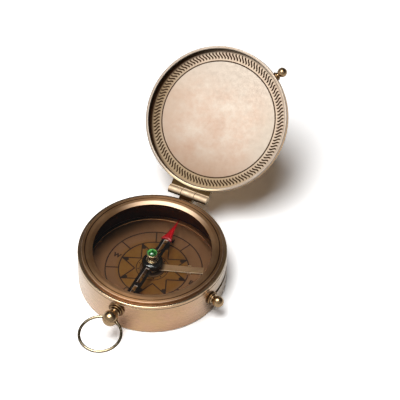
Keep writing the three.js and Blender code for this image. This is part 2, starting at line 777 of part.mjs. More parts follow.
function ringPost() {
  const nutEnd = boreRadius - RING_NUT_HEIGHT - 3 * RUN_GAP;
  const post = ballPost({
    wall: CASE_RADIUS,
    shank: RING_SHANK_RADIUS,
    shankEnd: nutEnd,
    gap: LEAF_GAP,
    flange: RING_FLANGE_RADIUS,
    bead: RING_BEAD_RADIUS,
    ball: RING_BALL_RADIUS,
    reach: RING_BALL_REACH,
  });
  const eye = [];
  const reach = RING_BALL_RADIUS + CUT_MARGIN;
  for (let i = 0; i <= 2 * ARC_STEPS; i++) {
    const along = reach * (i / ARC_STEPS - 1);
    const bow = RING_RADIUS - Math.sqrt(RING_RADIUS * RING_RADIUS - along * along);
    eye.push([RING_WIRE_RADIUS + LEAF_GAP + bow, along]);
  }
  const tool = turned([[0, -reach], ...eye, [0, reach]], SMALL_STEPS / 2);
  tool.rotateX(HALF_PI).translate(0, 0, ringBallRadial);
  return pointOutward(cut(post, [tool]), RING_AZIMUTH, RING_POST_HEIGHT);
}

function ringPostNut() {
  const corner = RING_NUT_SIZE / 2 / Math.cos(Math.PI / 6);
  const top = boreRadius * Math.cos(corner / boreRadius) - FIT_GAP;
  const nut = hexNut(RING_NUT_SIZE, RING_SHANK_RADIUS + FIT_GAP, top - RING_NUT_HEIGHT, top);
  return pointOutward(nut, RING_AZIMUTH, RING_POST_HEIGHT);
}

// A knuckle of the hinge between two places along X.
function knuckle(from, to) {
  return rod(HINGE_BARREL_RADIUS, from, to).rotateY(HALF_PI).translate(0, hingeY, hingeZ);
}

function leafArc(radius) {
  return Math.asin(HINGE_LENGTH / 2 / radius) / DEG;
}

function pinBore() {
  const reach = HINGE_LENGTH / 2 + CUT_MARGIN;
  return rod(hingeBore, -reach, reach).rotateY(HALF_PI).translate(0, hingeY, hingeZ);
}

// The case's knuckle has a heel behind it, which stops the opened lid.
function caseHingeLeaf() {
  const half = knuckleLength / 2;
  const inner = CASE_RADIUS + LEAF_GAP;
  const outer = inner + LEAF_THICKNESS;
  const spread = leafArc(outer);
  const plateTop = hingeZ - HINGE_BARREL_RADIUS - RUN_GAP;
  const plateBottom = plateTop - LEAF_HEIGHT;
  const plate = sector(inner, outer, 90 - spread, 90 + spread, plateBottom, plateTop, 2 * ARC_STEPS);
  const web = block([-half, CASE_RADIUS - CUT_MARGIN, hingeZ - CASE_WEB_HEIGHT], [half, hingeY, hingeZ]);
  const heelFace = hingeY - LID_RADIUS - LEAF_GAP - LEAF_THICKNESS - LEAF_GAP;
  const heel = block([-half, 0, 0], [half, HEEL_LENGTH, heelFace])
    .rotateX((90 - LID_OPEN_ANGLE) * DEG)
    .translate(0, hingeY, hingeZ);
  const wallCut = rod(inner, -CUT_MARGIN, hingeZ + HINGE_BARREL_RADIUS + CUT_MARGIN, TURNED_STEPS);
  const leaf = cut(join([web, knuckle(-half, half), heel]), [wallCut]);
  return cut(join([leaf, plate]), [pinBore()]);
}

function lidHingeLeaf() {
  const inner = LID_RADIUS + LEAF_GAP;
  const outer = inner + LEAF_THICKNESS;
  const spread = leafArc(outer);
  const bottom = lidRim + RUN_GAP;
  const plate = sector(inner, outer, 90 - spread, 90 + spread, bottom, bottom + LEAF_HEIGHT, 2 * ARC_STEPS);
  const start = knuckleLength / 2 + RUN_GAP;
  const end = HINGE_LENGTH / 2;
  const webTop = hingeZ + HINGE_BARREL_RADIUS;
  const rootDepth = LID_RADIUS * Math.cos(leafArc(LID_RADIUS) * DEG) - CUT_MARGIN;
  const arms = [];
  for (const [from, to] of [
    [-end, -start],
    [start, end],
  ]) {
    arms.push(knuckle(from, to));
    arms.push(block([from, rootDepth, bottom], [to, hingeY, webTop]));
  }
  const wallCut = rod(inner, 0, lidTop + CUT_MARGIN, TURNED_STEPS);
  return cut(join([plate, cut(join(arms), [wallCut])]), [pinBore()]);
}

function hingePin() {
  const half = HINGE_LENGTH / 2;
  return rod(HINGE_PIN_RADIUS, -half, half).rotateY(HALF_PI).translate(0, hingeY, hingeZ);
}

function bowRing() {
  const wireSteps = 2 * ARC_STEPS;
  const ring = new THREE.TorusGeometry(RING_RADIUS, RING_WIRE_RADIUS, wireSteps, 2 * SMALL_STEPS);
  return ring.translate(0, -RING_RADIUS, 0);
}

// Case, with the glass and the pivot
part(compass, "case_body", caseBody(), agedBrass);
part(compass, "dial_plate", dialPlate(), dialBrass);
const dialRing = plainRing(
  boreRadius - FIT_GAP - DIAL_RING_WIDTH,
  boreRadius - FIT_GAP,
  dialTop + SEAT_GAP,
  dialTop + SEAT_GAP + DIAL_RING_HEIGHT,
  TURNED_STEPS,
);
part(compass, "dial_ring", dialRing, agedBrass);
part(compass, "pivot_post", pivotPost(), paleBrass);
part(compass, "pivot_point", pivotPoint(), steel);
const pivotNut = hexNut(
  PIVOT_NUT_SIZE,
  PIVOT_SHANK_RADIUS + FIT_GAP,
  dialBottom - SEAT_GAP - PIVOT_NUT_HEIGHT,
  dialBottom - SEAT_GAP,
);
part(compass, "pivot_nut", pivotNut, paleBrass);
const gasket = plainRing(
  boreRadius + FIT_GAP,
  bezelRadius,
  gasketBottom,
  gasketBottom + GASKET_THICKNESS,
  TURNED_STEPS,
);
part(compass, "crystal_gasket", gasket, rubber);
part(compass, "crystal", rod(crystalRadius, crystalBottom, crystalTop, TURNED_STEPS), glass);
part(compass, "bezel_ring", bezelRing(), agedBrass);

// Needle lock
part(compass, "lever_saddle", leverSaddle(), paleBrass);
const leverPin = crossRod(LEVER_PIN_RADIUS, saddleHalfWidth()).rotateZ(LEVER_AZIMUTH * DEG);
part(compass, "lever_pin", leverPin, steel);
part(compass, "lock_lever", lockLever(), paleBrass);
part(compass, "lock_slider", lockSlider(), paleBrass);
part(compass, "lock_knob", lockKnob(), agedBrass);
part(compass, "lock_nut", lockNut(), paleBrass);

// Needle, on its own turning group
const needle = new THREE.Group();
needle.rotation.z = NEEDLE_HEADING * DEG;
compass.add(needle);
part(needle, "needle_hub", needleHub(), blackLacquer);
part(needle, "needle_blade", needleBlade(), blackLacquer);
part(needle, "north_arrow", northArrow(), redLacquer);
part(needle, "hub_dome", hubDome(), blackLacquer);
part(needle, "needle_cap", needleCap(), agedBrass);
part(needle, "bearing_cup", bearingCup(), agate);
part(needle, "cap_jewel", capJewel(), greenGlass);

// Hinge on the case
part(compass, "case_hinge_leaf", caseHingeLeaf(), agedBrass);
part(compass, "hinge_pin", hingePin(), agedBrass);

// Lid, modelled shut and then swung open about the hinge pin
const lidSwing = new THREE.Group();
lidSwing.position.set(0, hingeY, hingeZ);
lidSwing.rotation.x = -LID_OPEN_ANGLE * DEG;
compass.add(lidSwing);
const lid = new THREE.Group();
lid.position.set(0, -hingeY, -hingeZ);
lidSwing.add(lid);
part(lid, "lid_shell", lidShell(), agedBrass);
part(lid, "lid_hinge_leaf", lidHingeLeaf(), agedBrass);
part(lid, "lid_knob", lidKnob(), agedBrass);

// Carrying ring, hanging from the drilled ball
part(compass, "ring_post", ringPost(), agedBrass);
part(compass, "ring_post_nut", ringPostNut(), paleBrass);
const ringSwing = new THREE.Group();
ringSwing.position.set(0, -ringBallRadial, RING_POST_HEIGHT);
ringSwing.rotation.x = RING_DROOP * DEG;
const ringSide = new THREE.Group();
ringSide.rotation.z = RING_AZIMUTH * DEG + HALF_PI;
ringSide.add(ringSwing);
compass.add(ringSide);
part(ringSwing, "bow_ring", bowRing(), agedBrass);

export default compass;
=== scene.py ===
# A lidded brass pocket compass with a needle lock, standing open on a white floor.
# Row frame in metres, +Z up: +Y points to the hinge (north on the dial), +X to east.
# Shapes are worked out in millimetres and scaled when a piece is made.
import json
import math

import bmesh
import bpy
from mathutils import Matrix, Vector


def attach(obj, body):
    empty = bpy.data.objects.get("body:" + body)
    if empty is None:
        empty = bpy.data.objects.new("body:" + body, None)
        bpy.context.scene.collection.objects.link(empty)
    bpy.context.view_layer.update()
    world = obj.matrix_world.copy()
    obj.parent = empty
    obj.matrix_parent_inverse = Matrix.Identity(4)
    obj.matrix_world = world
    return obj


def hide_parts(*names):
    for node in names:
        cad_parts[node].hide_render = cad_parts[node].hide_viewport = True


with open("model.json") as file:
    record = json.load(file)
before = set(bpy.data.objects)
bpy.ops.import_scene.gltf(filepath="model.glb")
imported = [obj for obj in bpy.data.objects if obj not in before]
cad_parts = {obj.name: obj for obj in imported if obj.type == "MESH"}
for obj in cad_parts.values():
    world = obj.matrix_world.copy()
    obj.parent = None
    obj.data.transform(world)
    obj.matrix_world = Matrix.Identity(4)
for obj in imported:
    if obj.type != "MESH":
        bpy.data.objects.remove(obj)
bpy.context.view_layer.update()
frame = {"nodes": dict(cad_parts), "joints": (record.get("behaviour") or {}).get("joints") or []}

MM = 0.001
DEG = math.pi / 180

# Facets and edges
TURNED_STEPS = 192
SMALL_STEPS = 64
ARC_STEPS = 4
SHARP_ANGLE = 38 * DEG
WELD = 0.001
ON_AXIS = 1e-6
SEAT_GAP = 0.05
FIT_GAP = 0.15
LEAF_GAP = 0.2
RUN_GAP = 0.3
FINE_ROUND = 0.1
EDGE_STEPS = 2
FLAT_ANGLE = 1 * DEG
CUT_MARGIN = 1.0

# Case edges
FOOT_ROUND = 0.25
GROOVE_HEIGHT = 0.6
GROOVE_DEPTH = 0.3
BEAD_HEIGHT = 1.5
BEAD_ROUND = 0.5
FOOT_CHAMFER = 0.6
SMALL_ROUND = 0.15
RIM_WALL = 1.9
BODY_WALL = 3.3
LEDGE_WIDTH = 1.2
GLASS_SEAT_DEPTH = 1.1
CASE_FLOOR = 1.2
DIAL_LEDGE = 4.0

# Slot of the needle lock
SLOT_HEIGHT = 2.3
SLOT_MARGIN = 1.15
SLOT_STEPS = 40

# Bezel
BEZEL_SKIRT = 0.5
BEZEL_SKIRT_HEIGHT = 1.25
BEZEL_WIDTH = 5.5
BEZEL_LINE = 1.65
BEZEL_LINE_WIDTH = 0.36
BEZEL_LINE_DEPTH = 0.2
BEZEL_SLOPE = 1.9

# Turned knobs
FLANGE_THICKNESS = 0.8
COLLAR_LENGTH = 0.7
COLLAR_SHARE = 0.74
NECK_SHARE = 0.5
BEAD_FROM = 0.3
BEAD_TO = 0.75
KNOB_ROUND = 0.22
LOCK_SHANK_RADIUS = 0.85
LOCK_SHANK_END = 31.4
LOCK_FLANGE_RADIUS = 3.5
LOCK_BALL_RADIUS = 2.95
LOCK_BALL_REACH = 4.4
LID_SHANK_RADIUS = 0.9
LID_SHANK_DEPTH = 0.85
LID_FLANGE_RADIUS = 2.3
LID_BALL_RADIUS = 2.49
LID_BALL_REACH = 3.95

# Dial
DIAL_RING_WIDTH = 2.2
DIAL_RING_ROUND = 0.3

# Pivot of the needle
PIVOT_SHANK_RADIUS = 1.9
PIVOT_FLANGE_HEIGHT = 0.3
PIVOT_RADIUS = 1.5
POINT_BORE_RADIUS = 0.75
POINT_BORE_DEPTH = 1.4

# Lever
LEVER_BRIGHT_END = 25.8
LEVER_EDGE = 0.22
LEVER_HALF_WIDTH = 1.9

# Dial engraving
LINE_WIDTH = 0.64
FINE_LINE = 0.4
LINE_RISE = 0.02
LINE_SINK = 0.05
ROSE_SHIFT = (0.9, -0.45, 0)
OUTER_CIRCLE = 24.5
INNER_CIRCLE = 17.75
STAR_RADIUS = 17.7
STAR_WAIST = 9.6
STAR_POINTS = 8
TIP_FILL = 3.0
HUB_CIRCLES = (6.3, 8.2)
HUB_DOTS = 12
HUB_DOT_RADIUS = 0.4
HUB_DOT_STEPS = 10
LETTER_SIZE = 3.5
LETTER_BOLDNESS = 0.05
LETTER_RADIUS = 20.7
LETTER_STEPS = 4

# Lid engraving
LID_LINE_RADIUS = 30.0
ROPE_INNER = 31.1
ROPE_OUTER = 34.5
BORDER_SHIFT = (0.45, -0.1, 0)
LID_SHADE_SHIFT = (1.3, 0.5)
LID_SHADE = (34.4, 36.4)
ROPE_STROKES = 120
ROPE_LEAN = -1.5
ROPE_BEND = -0.3
ROPE_WIDTH = 1.04
ROPE_TAPER = 0.5
ROPE_STEPS = 12

# Needle
NEEDLE_SLOT_HALF_WIDTH = 0.95
NEEDLE_EDGE = 0.25
NEEDLE_EDGE_STEPS = 3
NEEDLE_HEADING = -0.6
HUB_BORE = 1.9
HUB_FOOT_RADIUS = 2.8
HUB_FOOT_HEIGHT = 1.3
HUB_DISC_HEIGHT = 1.4
HUB_NECK_RADIUS = 3.3
CAP_FOOT_RADIUS = 3.1
CAP_FOOT_HEIGHT = 0.5
CAP_FLANGE_RADIUS = 2.5
CAP_FLANGE_HEIGHT = 0.6
CAP_NECK_RADIUS = 1.5
CAP_NECK_ROUND = 0.4
CAP_COLLAR_HEIGHT = 0.8
JEWEL_SEAT = 0.4
JEWEL_DOME = 1.2
ARROW_STEPS = 28
ARROW_CROSS_STEPS = 12
ARROW_CROWDING = 1.5
ARROW_EDGE = 0.5
ARROW_NOTCH = 0.5
ARROW_BASE_ROUND = 0.9

# Lid
LID_WALL = 1.4
LID_TOP = 1.41
LID_ROUND = 1.07
LID_CORNER_ROUND = 0.5
LID_WALL_SHADE_HEIGHT = 0.7
RIM_ROUND = 0.35

# Hinge, and how far its painted shade reaches from the axis
LEAF_ROUND = 0.12
UNDER_BARREL = (0, -0.5, -0.866)
BARREL_SHADE = (-0.3, 1.1)
LEAF_SHADE = (1.9, 2.4)

# Carrying ring
RING_SHANK_RADIUS = 1.3
RING_SHANK_END = 32.1
RING_FLANGE_RADIUS = 4.2
RING_BEAD_RADIUS = 2.7
RING_BALL_RADIUS = 4.05
RING_DROOP = 5.0
RING_RADIUS = 10.4
EYE_RADIUS = 0.95
WIRE_RADIUS = 0.735
RING_STEPS = 144
WIRE_STEPS = 20
# Where the painted shade along the sides of the ring's wire sets in, seen aslant
WIRE_ASLANT = (0.06, 0.3)

# Camera, from the photograph's outline of the case and the lid
VIEW_AZIMUTH = 25.41
VIEW_ELEVATION = 48.19
VIEW_ROLL = -0.46
FRAME_WIDTH = 202.24
AIM_RIGHT = 23.98
AIM_UP = 37.91
LENS = 252.0
SENSOR = 36.0
FAR_CLIP = 100

# Light of the room on dull surfaces, and the floor's brightness in the picture
FILL_LIGHT = 0.02
BLEACHED_PAPER = (1.64, 1.64, 1.64, 1)

# Floor and lamp, in metres
FLOOR_HALF = 4.0
FLOOR_DEPTH = 0.01
LAMP_TARGET = (0, 0.03, 0.02)

# Brightness of the room from one direction to another
FRONT_TO_BACK, OVERHEAD = (-0.7, 0.3), (0.45, 0.05)
LEFT_TO_RIGHT, WALLS = (-0.1, 0.6), (1.0, 0.3)
HORIZON = (0.06, 0.3)


def joint(name):
    return next(j for j in frame["joints"] if j["name"] == name)


def node_box(node, turn=Matrix()):
    """Lowest and highest corner of a CAD node in millimetres, after a turn in metres."""
    places = [turn @ v.co / MM for v in frame["nodes"][node].data.vertices]
    low = Vector([min(p[i] for p in places) for i in range(3)])
    high = Vector([max(p[i] for p in places) for i in range(3)])
    return low, high


def bearing(node, turn=Matrix()):
    """Azimuth in degrees and height of the middle of a CAD node, after a turn."""
    low, high = node_box(node, turn)
    middle = (low + high) / 2
    return math.atan2(middle.y, middle.x) / DEG, middle.z


def about(point, angle, axis):
    return Matrix.Translation(point) @ Matrix.Rotation(angle, 4, axis) @ Matrix.Translation(-point)


def outward(azimuth, height):
    """Turns a piece made along +Z so that it points out of the case at an azimuth and a height."""
    lift = Matrix.Translation((0, 0, height))
    return lift @ Matrix.Rotation(azimuth * DEG, 4, "Z") @ Matrix.Rotation(math.pi / 2, 4, "Y")


# Places that come from the frame
lid_hinge = joint("lid_hinge")
hinge_place = Vector(lid_hinge["pos_m"])
lid_open = about(hinge_place, -lid_hinge["range_deg"][0] * DEG, Vector(lid_hinge["axis"]))
lid_shut = lid_open.inverted()
needle_turn = Matrix.Rotation(NEEDLE_HEADING * DEG, 4, "Z")

case_high = node_box("case_body")[1]
case_radius = case_high.x
case_height = case_high.z
bore_radius = case_radius - BODY_WALL
seat_radius = case_radius - RIM_WALL
dial_top = node_box("dial_plate")[1].z
ring_place = Vector(joint("ring_swing")["pos_m"]) / MM
ring_azimuth = math.atan2(ring_place.y, ring_place.x) / DEG
bezel_crown_end = node_box("bezel_ring")[1].x - BEZEL_WIDTH + BEZEL_SLOPE
ring_foot_end = ring_place.xy.length - RING_BALL_RADIUS
lock_foot_end = case_radius + LOCK_BALL_REACH - LOCK_BALL_RADIUS
lever_across = Vector(joint("lever_tilt")["axis"])
lever_line = lever_across.cross(Vector((0, 0, 1)))
needle_top = node_box("needle_blade")[1].z
lid_low, lid_high = node_box("lid_shell", lid_shut)
lid_radius = lid_high.x
lid_inner_face = lid_high.z - LID_TOP
lid_foot_end = lid_radius + LID_BALL_REACH - LID_BALL_RADIUS


# Mesh making

def new_object(name, data):
    thing = bpy.data.objects.new(name, data)
    bpy.context.scene.collection.objects.link(thing)
    return thing


def mesh_from(shape):
    mesh = bpy.data.meshes.new("shape")
    shape.to_mesh(mesh)
    shape.free()
    return mesh


def rounded(corners, closed=False):
    """Profile points with corners turned into arcs. A corner is (radius, height), then its rounding and
    its own value for worn edges and painted shade. Each arc gets one: 1 where it sticks out, for a worn
    edge, and -1 in a hollow, for painted shade."""
    points = []
    count = len(corners)
    for i, corner in enumerate(corners):
        here = Vector(corner[:2])
        size = corner[2] if len(corner) > 2 else 0
        if size == 0 or (not closed and i in (0, count - 1)):
            points.append((*here, corner[3] if len(corner) > 3 else 0))
            continue
        before = Vector(corners[i - 1][:2]) - here
        after = Vector(corners[(i + 1) % count][:2]) - here
        start = here + before.normalized() * min(size, before.length / 2)
        end = here + after.normalized() * min(size, after.length / 2)
        bend = before.x * after.y - before.y * after.x
        wear_and_shade = -1 if bend > 0 else 1
        for step in range(ARC_STEPS + 1):
            t = step / ARC_STEPS
            place = start * (1 - t) ** 2 + here * (2 * t * (1 - t)) + end * t * t
            points.append((*place, wear_and_shade if 0 < step < ARC_STEPS else 0))
    if closed:
        points.append(points[0])
    return points


def turned(profile, steps=TURNED_STEPS):
    """Revolves (radius, height, value for worn edges and painted shade) points, up the outside and down
    the inside, about Z.
    """
    shape = bmesh.new()
    wear_and_shade = shape.verts.layers.float.new("wear_and_shade")
    rings = []
    closed = Vector(profile[0][:2]) == Vector(profile[-1][:2])
    for point in profile[:-1] if closed else profile:
        radius, height = point[:2]
        count = 1 if radius < ON_AXIS else steps
        ring = []
        for i in range(count):
            angle = 2 * math.pi * i / steps
            vert = shape.verts.new((radius * math.cos(angle), radius * math.sin(angle), height))
            vert[wear_and_shade] = point[2] if len(point) > 2 else 0
            ring.append(vert)
        rings.append(ring)
    if closed:
        rings.append(rings[0])
    for low, high in zip(rings, rings[1:]):
        if len(low) == len(high) == 1:
            continue
        for i in range(steps):
            corners = [low[i % len(low)], low[(i + 1) % steps % len(low)]]
            corners += [high[(i + 1) % steps % len(high)], high[i % len(high)]]
            shape.faces.new(dict.fromkeys(corners))
    bmesh.ops.recalc_face_normals(shape, faces=shape.faces)
    return mesh_from(shape)


def plain_ring(inner, outer, bottom, top, round_size=0, steps=TURNED_STEPS):
    corners = [(inner, bottom), (outer, bottom), (outer, top, round_size), (inner, top, round_size)]
    return turned(rounded(corners, closed=True), steps)


def lofted(rings):
    """A skin over rings of places, closed at both ends."""
    shape = bmesh.new()
    loops = [[shape.verts.new(place) for place in ring] for ring in rings]
    for near, far in zip(loops, loops[1:]):
        for i in range(len(near)):
            j = (i + 1) % len(near)
            shape.faces.new((near[i], near[j], far[j], far[i]))
    shape.faces.new(loops[0])
    shape.faces.new(loops[-1])
    bmesh.ops.recalc_face_normals(shape, faces=shape.faces)
    return mesh_from(shape)


def slab(outline, bottom, top):
    """An upright prism over a flat outline of (x, y) points."""
    return lofted([[(x, y, height) for x, y in outline] for height in (bottom, top)])


def joined(meshes):
    shape = bmesh.new()
    for mesh in meshes:
        shape.from_mesh(mesh)
    return mesh_from(shape)


def placed(mesh, turn):
    mesh.transform(turn)
    return mesh


def finished(shape, add_modifiers=None):
    """The plain mesh of a mesh or a text, after any modifiers."""
    bench = new_object("bench", shape)
    if add_modifiers:
        add_modifiers(bench)
    graph = bpy.context.evaluated_depsgraph_get()
    result = bpy.data.meshes.new_from_object(bench.evaluated_get(graph))
    bpy.data.objects.remove(bench)
    return result


def cut(mesh, tool):
    cutter = new_object("cutter", tool)

    def add_cut(bench):
        boolean = bench.modifiers.new("cut", "BOOLEAN")
        boolean.operation = "DIFFERENCE"
        boolean.solver = "EXACT"
        boolean.object = cutter

    result = finished(mesh, add_cut)
    bpy.data.objects.remove(cutter)
    return result


def softened(node, width, segments=EDGE_STEPS):
    """A copy of a CAD node, in millimetres, with its sharp edges rounded."""
    shape = bmesh.new()
    shape.from_mesh(frame["nodes"][node].data)
    bmesh.ops.scale(shape, vec=(1 / MM,) * 3, verts=shape.verts)
    bmesh.ops.remove_doubles(shape, verts=shape.verts, dist=WELD)
    bmesh.ops.dissolve_limit(shape, angle_limit=FLAT_ANGLE, verts=shape.verts, edges=shape.edges)

    def add_bevel(bench):
        bevel = bench.modifiers.new("edges", "BEVEL")
        bevel.width = width
        bevel.segments = segments
        bevel.limit_method = "ANGLE"
        bevel.angle_limit = SHARP_ANGLE

    return finished(mesh_from(shape), add_bevel)


def lettering(text, size, bottom, top):
    """Upright capital letters centred on the origin, standing from bottom to top."""
    words = bpy.data.curves.new("letters", "FONT")
    words.body = text
    words.size = size
    words.align_x = "CENTER"
    words.align_y = "CENTER"
    words.offset = LETTER_BOLDNESS * size
    words.extrude = (top - bottom) / 2
    words.resolution_u = LETTER_STEPS
    return placed(finished(words), Matrix.Translation((0, 0, (top + bottom) / 2)))


# Node trees

def add(tree, kind, settings=None, inputs=None):
    """Adds a node, sets its properties, and links or fills its inputs."""
    node = tree.nodes.new(kind)
    for name, value in (settings or {}).items():
        setattr(node, name, value)
    for name, value in (inputs or {}).items():
        if isinstance(value, bpy.types.NodeSocket):
            tree.links.new(value, node.inputs[name])
        else:
            node.inputs[name].default_value = value
    return node


def node_tree(name, sockets):
    """A geometry tree with named inputs, the sockets of its inputs and their identifiers."""
    tree = bpy.data.node_groups.new(name, "GeometryNodeTree")
    identifiers = {}
    for label, kind in sockets.items():
        socket = tree.interface.new_socket(label, in_out="INPUT", socket_type="NodeSocket" + kind)
        identifiers[label] = socket.identifier
    tree.interface.new_socket("Geometry", in_out="OUTPUT", socket_type="NodeSocketGeometry")
    return tree, tree.nodes.new("NodeGroupInput").outputs, identifiers


def end_tree(tree, shapes, material):
    plain = add(tree, "GeometryNodeRealizeInstances", inputs={"Geometry": shapes})
    inputs = {"Geometry": plain.outputs["Geometry"], "Material": material}
    painted = add(tree, "GeometryNodeSetMaterial", inputs=inputs)
    add(tree, "NodeGroupOutput", inputs={"Geometry": painted.outputs["Geometry"]})


def copies_tree():
    """Copies of one shape turned about Z, evenly round the circle."""
    sockets = {"Shape": "Geometry", "Count": "Int", "Material": "Material"}
    tree, given, identifiers = node_tree("copies_round_a_circle", sockets)
    points = add(tree, "GeometryNodePoints", inputs={"Count": given["Count"]})
    index = add(tree, "GeometryNodeInputIndex").outputs["Index"]
    share = add(tree, "ShaderNodeMath", {"operation": "DIVIDE"}, {0: index, 1: given["Count"]})
    inputs = {0: share.outputs["Value"], 1: 2 * math.pi}
    angle = add(tree, "ShaderNodeMath", {"operation": "MULTIPLY"}, inputs)
    turn = add(tree, "ShaderNodeCombineXYZ", inputs={"Z": angle.outputs["Value"]})
    inputs = {
        "Points": points.outputs["Points"],
        "Instance": given["Shape"],
        "Rotation": turn.outputs["Vector"],
    }
    shapes = add(tree, "GeometryNodeInstanceOnPoints", inputs=inputs)
    end_tree(tree, shapes.outputs["Instances"], given["Material"])
    return tree, identifiers


def wire_tree():
    """A round wire bent to a ring about Z."""
    sockets = {
        "Ring Radius": "Float",
        "Wire Radius": "Float",
        "Ring Steps": "Int",
        "Wire Steps": "Int",
        "Material": "Material",
    }
    tree, given, identifiers = node_tree("bent_wire_ring", sockets)
    circles = []
    for part in ("Ring", "Wire"):
        inputs = {"Resolution": given[f"{part} Steps"], "Radius": given[f"{part} Radius"]}
        circles.append(add(tree, "GeometryNodeCurvePrimitiveCircle", inputs=inputs).outputs["Curve"])
    path, section = circles
    wire = add(tree, "GeometryNodeCurveToMesh", inputs={"Curve": path, "Profile Curve": section})
    end_tree(tree, wire.outputs["Mesh"], given["Material"])
    return tree, identifiers


def grown(mesh, tree_and_sockets, **values):
    """The mesh that a tree gives, with its inputs set by their identifiers."""
    tree, identifiers = tree_and_sockets

    def add_tree(bench):
        nodes = bench.modifiers.new(tree.name, "NODES")
        nodes.node_group = tree
        for label, value in values.items():
            nodes[identifiers[label.replace("_", " ")]] = value

    return finished(mesh, add_tree)


copies = copies_tree()
wires = wire_tree()


# Materials

MIX_A, MIX_B, MIX_RESULT = 6, 7, 2

# How the blotches, worn edges, painted shade in hollows, painted sheen seen aslant and tool marks of brass
# show
BLOTCH_SIZE = 11.0
BLOTCH_DETAIL = 6.0
BLOTCH_ROUGHNESS = 0.68
BLOTCH_SPREAD = (0.35, 0.65)
RUBBED_EDGE = (0.0, 1.0)
SHADED_HOLLOW = (0.0, -1.0)
EDGE_WEAR = 0.8
HOLLOW_SHADE = 0.85
# How far brass seen aslant blends to its glancing tone, a painted sheen
PAINTED_GLANCE = 0.85
SEEN_ASLANT = (0.4, 0.95)
EVEN_BLEND = 0.5
MARK_SIZE = 1.0
MARK_DETAIL = 2.0
MARK_SPREAD = (0.3, 0.7)
MARK_STRENGTH = 0.6
GLOSS_BELOW = 0.05
GLOSS_ABOVE = 0.07
GRAIN_TURN = 0.25

# Turning marks run round the case, so they are short along Z and long across it. Even marks are
# 2 mm across and fine ones 0.2 mm
ROUND_MARKS = (0.05, 0.05, 1.6)
EVEN_MARKS = (0.5, 0.5, 0.5)
FINE_MARKS = (5.0, 5.0, 5.0)

# Other finishes
PEEL_SIZE = 1.5
PEEL_DETAIL = 2.0
PEEL_DEPTH = 0.02
PEEL_STRENGTH = 0.4
COAT_ROUGHNESS = 0.05
LACQUER_IOR = 1.5
GLASS_IOR = 1.5
WAX_SIZE = 2.5
WAX_ROUGHNESS = 0.8
WAX_SHINE = 0.15
CLOUD_DETAIL = 3.0
SWIRL_SIZE = 1.2
SWIRL_DETAIL = 2.0
SWIRL_SHARE = 0.5
JEWEL_EDGE = (0.5, 1.0)
JEWEL_ROUGHNESS = 0.06
JEWEL_IOR = 1.9
JEWEL_CLEARNESS = 0.25


def linear(code):
    """A linear colour from an sRGB hex code."""
    channels = [int(code[i : i + 2], 16) / 255 for i in (1, 3, 5)]
    return (*[c / 12.92 if c <= 0.04045 else ((c + 0.055) / 1.055) ** 2.4 for c in channels], 1)


def per(size):
    """The scale of a pattern whose features are that many millimetres, on coordinates in metres."""
    return 1 / (size * MM)


def new_material(name):
    material = bpy.data.materials.new(name)
    material.use_nodes = True
    tree = material.node_tree
    tree.nodes.clear()
    output = tree.nodes.new("ShaderNodeOutputMaterial")
    return material, tree, output


def stain_and_shading(operation, point, start, end, flat=False):
    """Where a patch of staining or of painted shading lies: its share rises from 0 to 1 between two
    reaches in millimetres. A reach is taken along a direction or from a place, and may leave out the
    height."""

    def share(tree, place):
        if flat:
            level = add(tree, "ShaderNodeVectorMath", {"operation": "MULTIPLY"}, {0: place, 1: (1, 1, 0)})
            place = level.outputs["Vector"]
        reach = add(tree, "ShaderNodeVectorMath", {"operation": operation}, {0: place, 1: point})
        inputs = {"Value": reach.outputs["Value"], "From Min": start * MM, "From Max": end * MM}
        rise = add(tree, "ShaderNodeMapRange", {"interpolation_type": "SMOOTHSTEP"}, inputs)
        return rise.outputs["Result"]

    return share


def along(direction, start, end):
    """A patch that sets in along a direction."""
    return stain_and_shading("DOT_PRODUCT", direction, start, end)


def off_axis(start, end):
    """A patch that sets in away from the pivot."""
    return stain_and_shading("LENGTH", (0, 0, 0), start, end, flat=True)


def far_from(middle, start, end):
    """A patch that sets in away from a place."""
    return stain_and_shading("DISTANCE", Vector(middle) * MM, start, end)


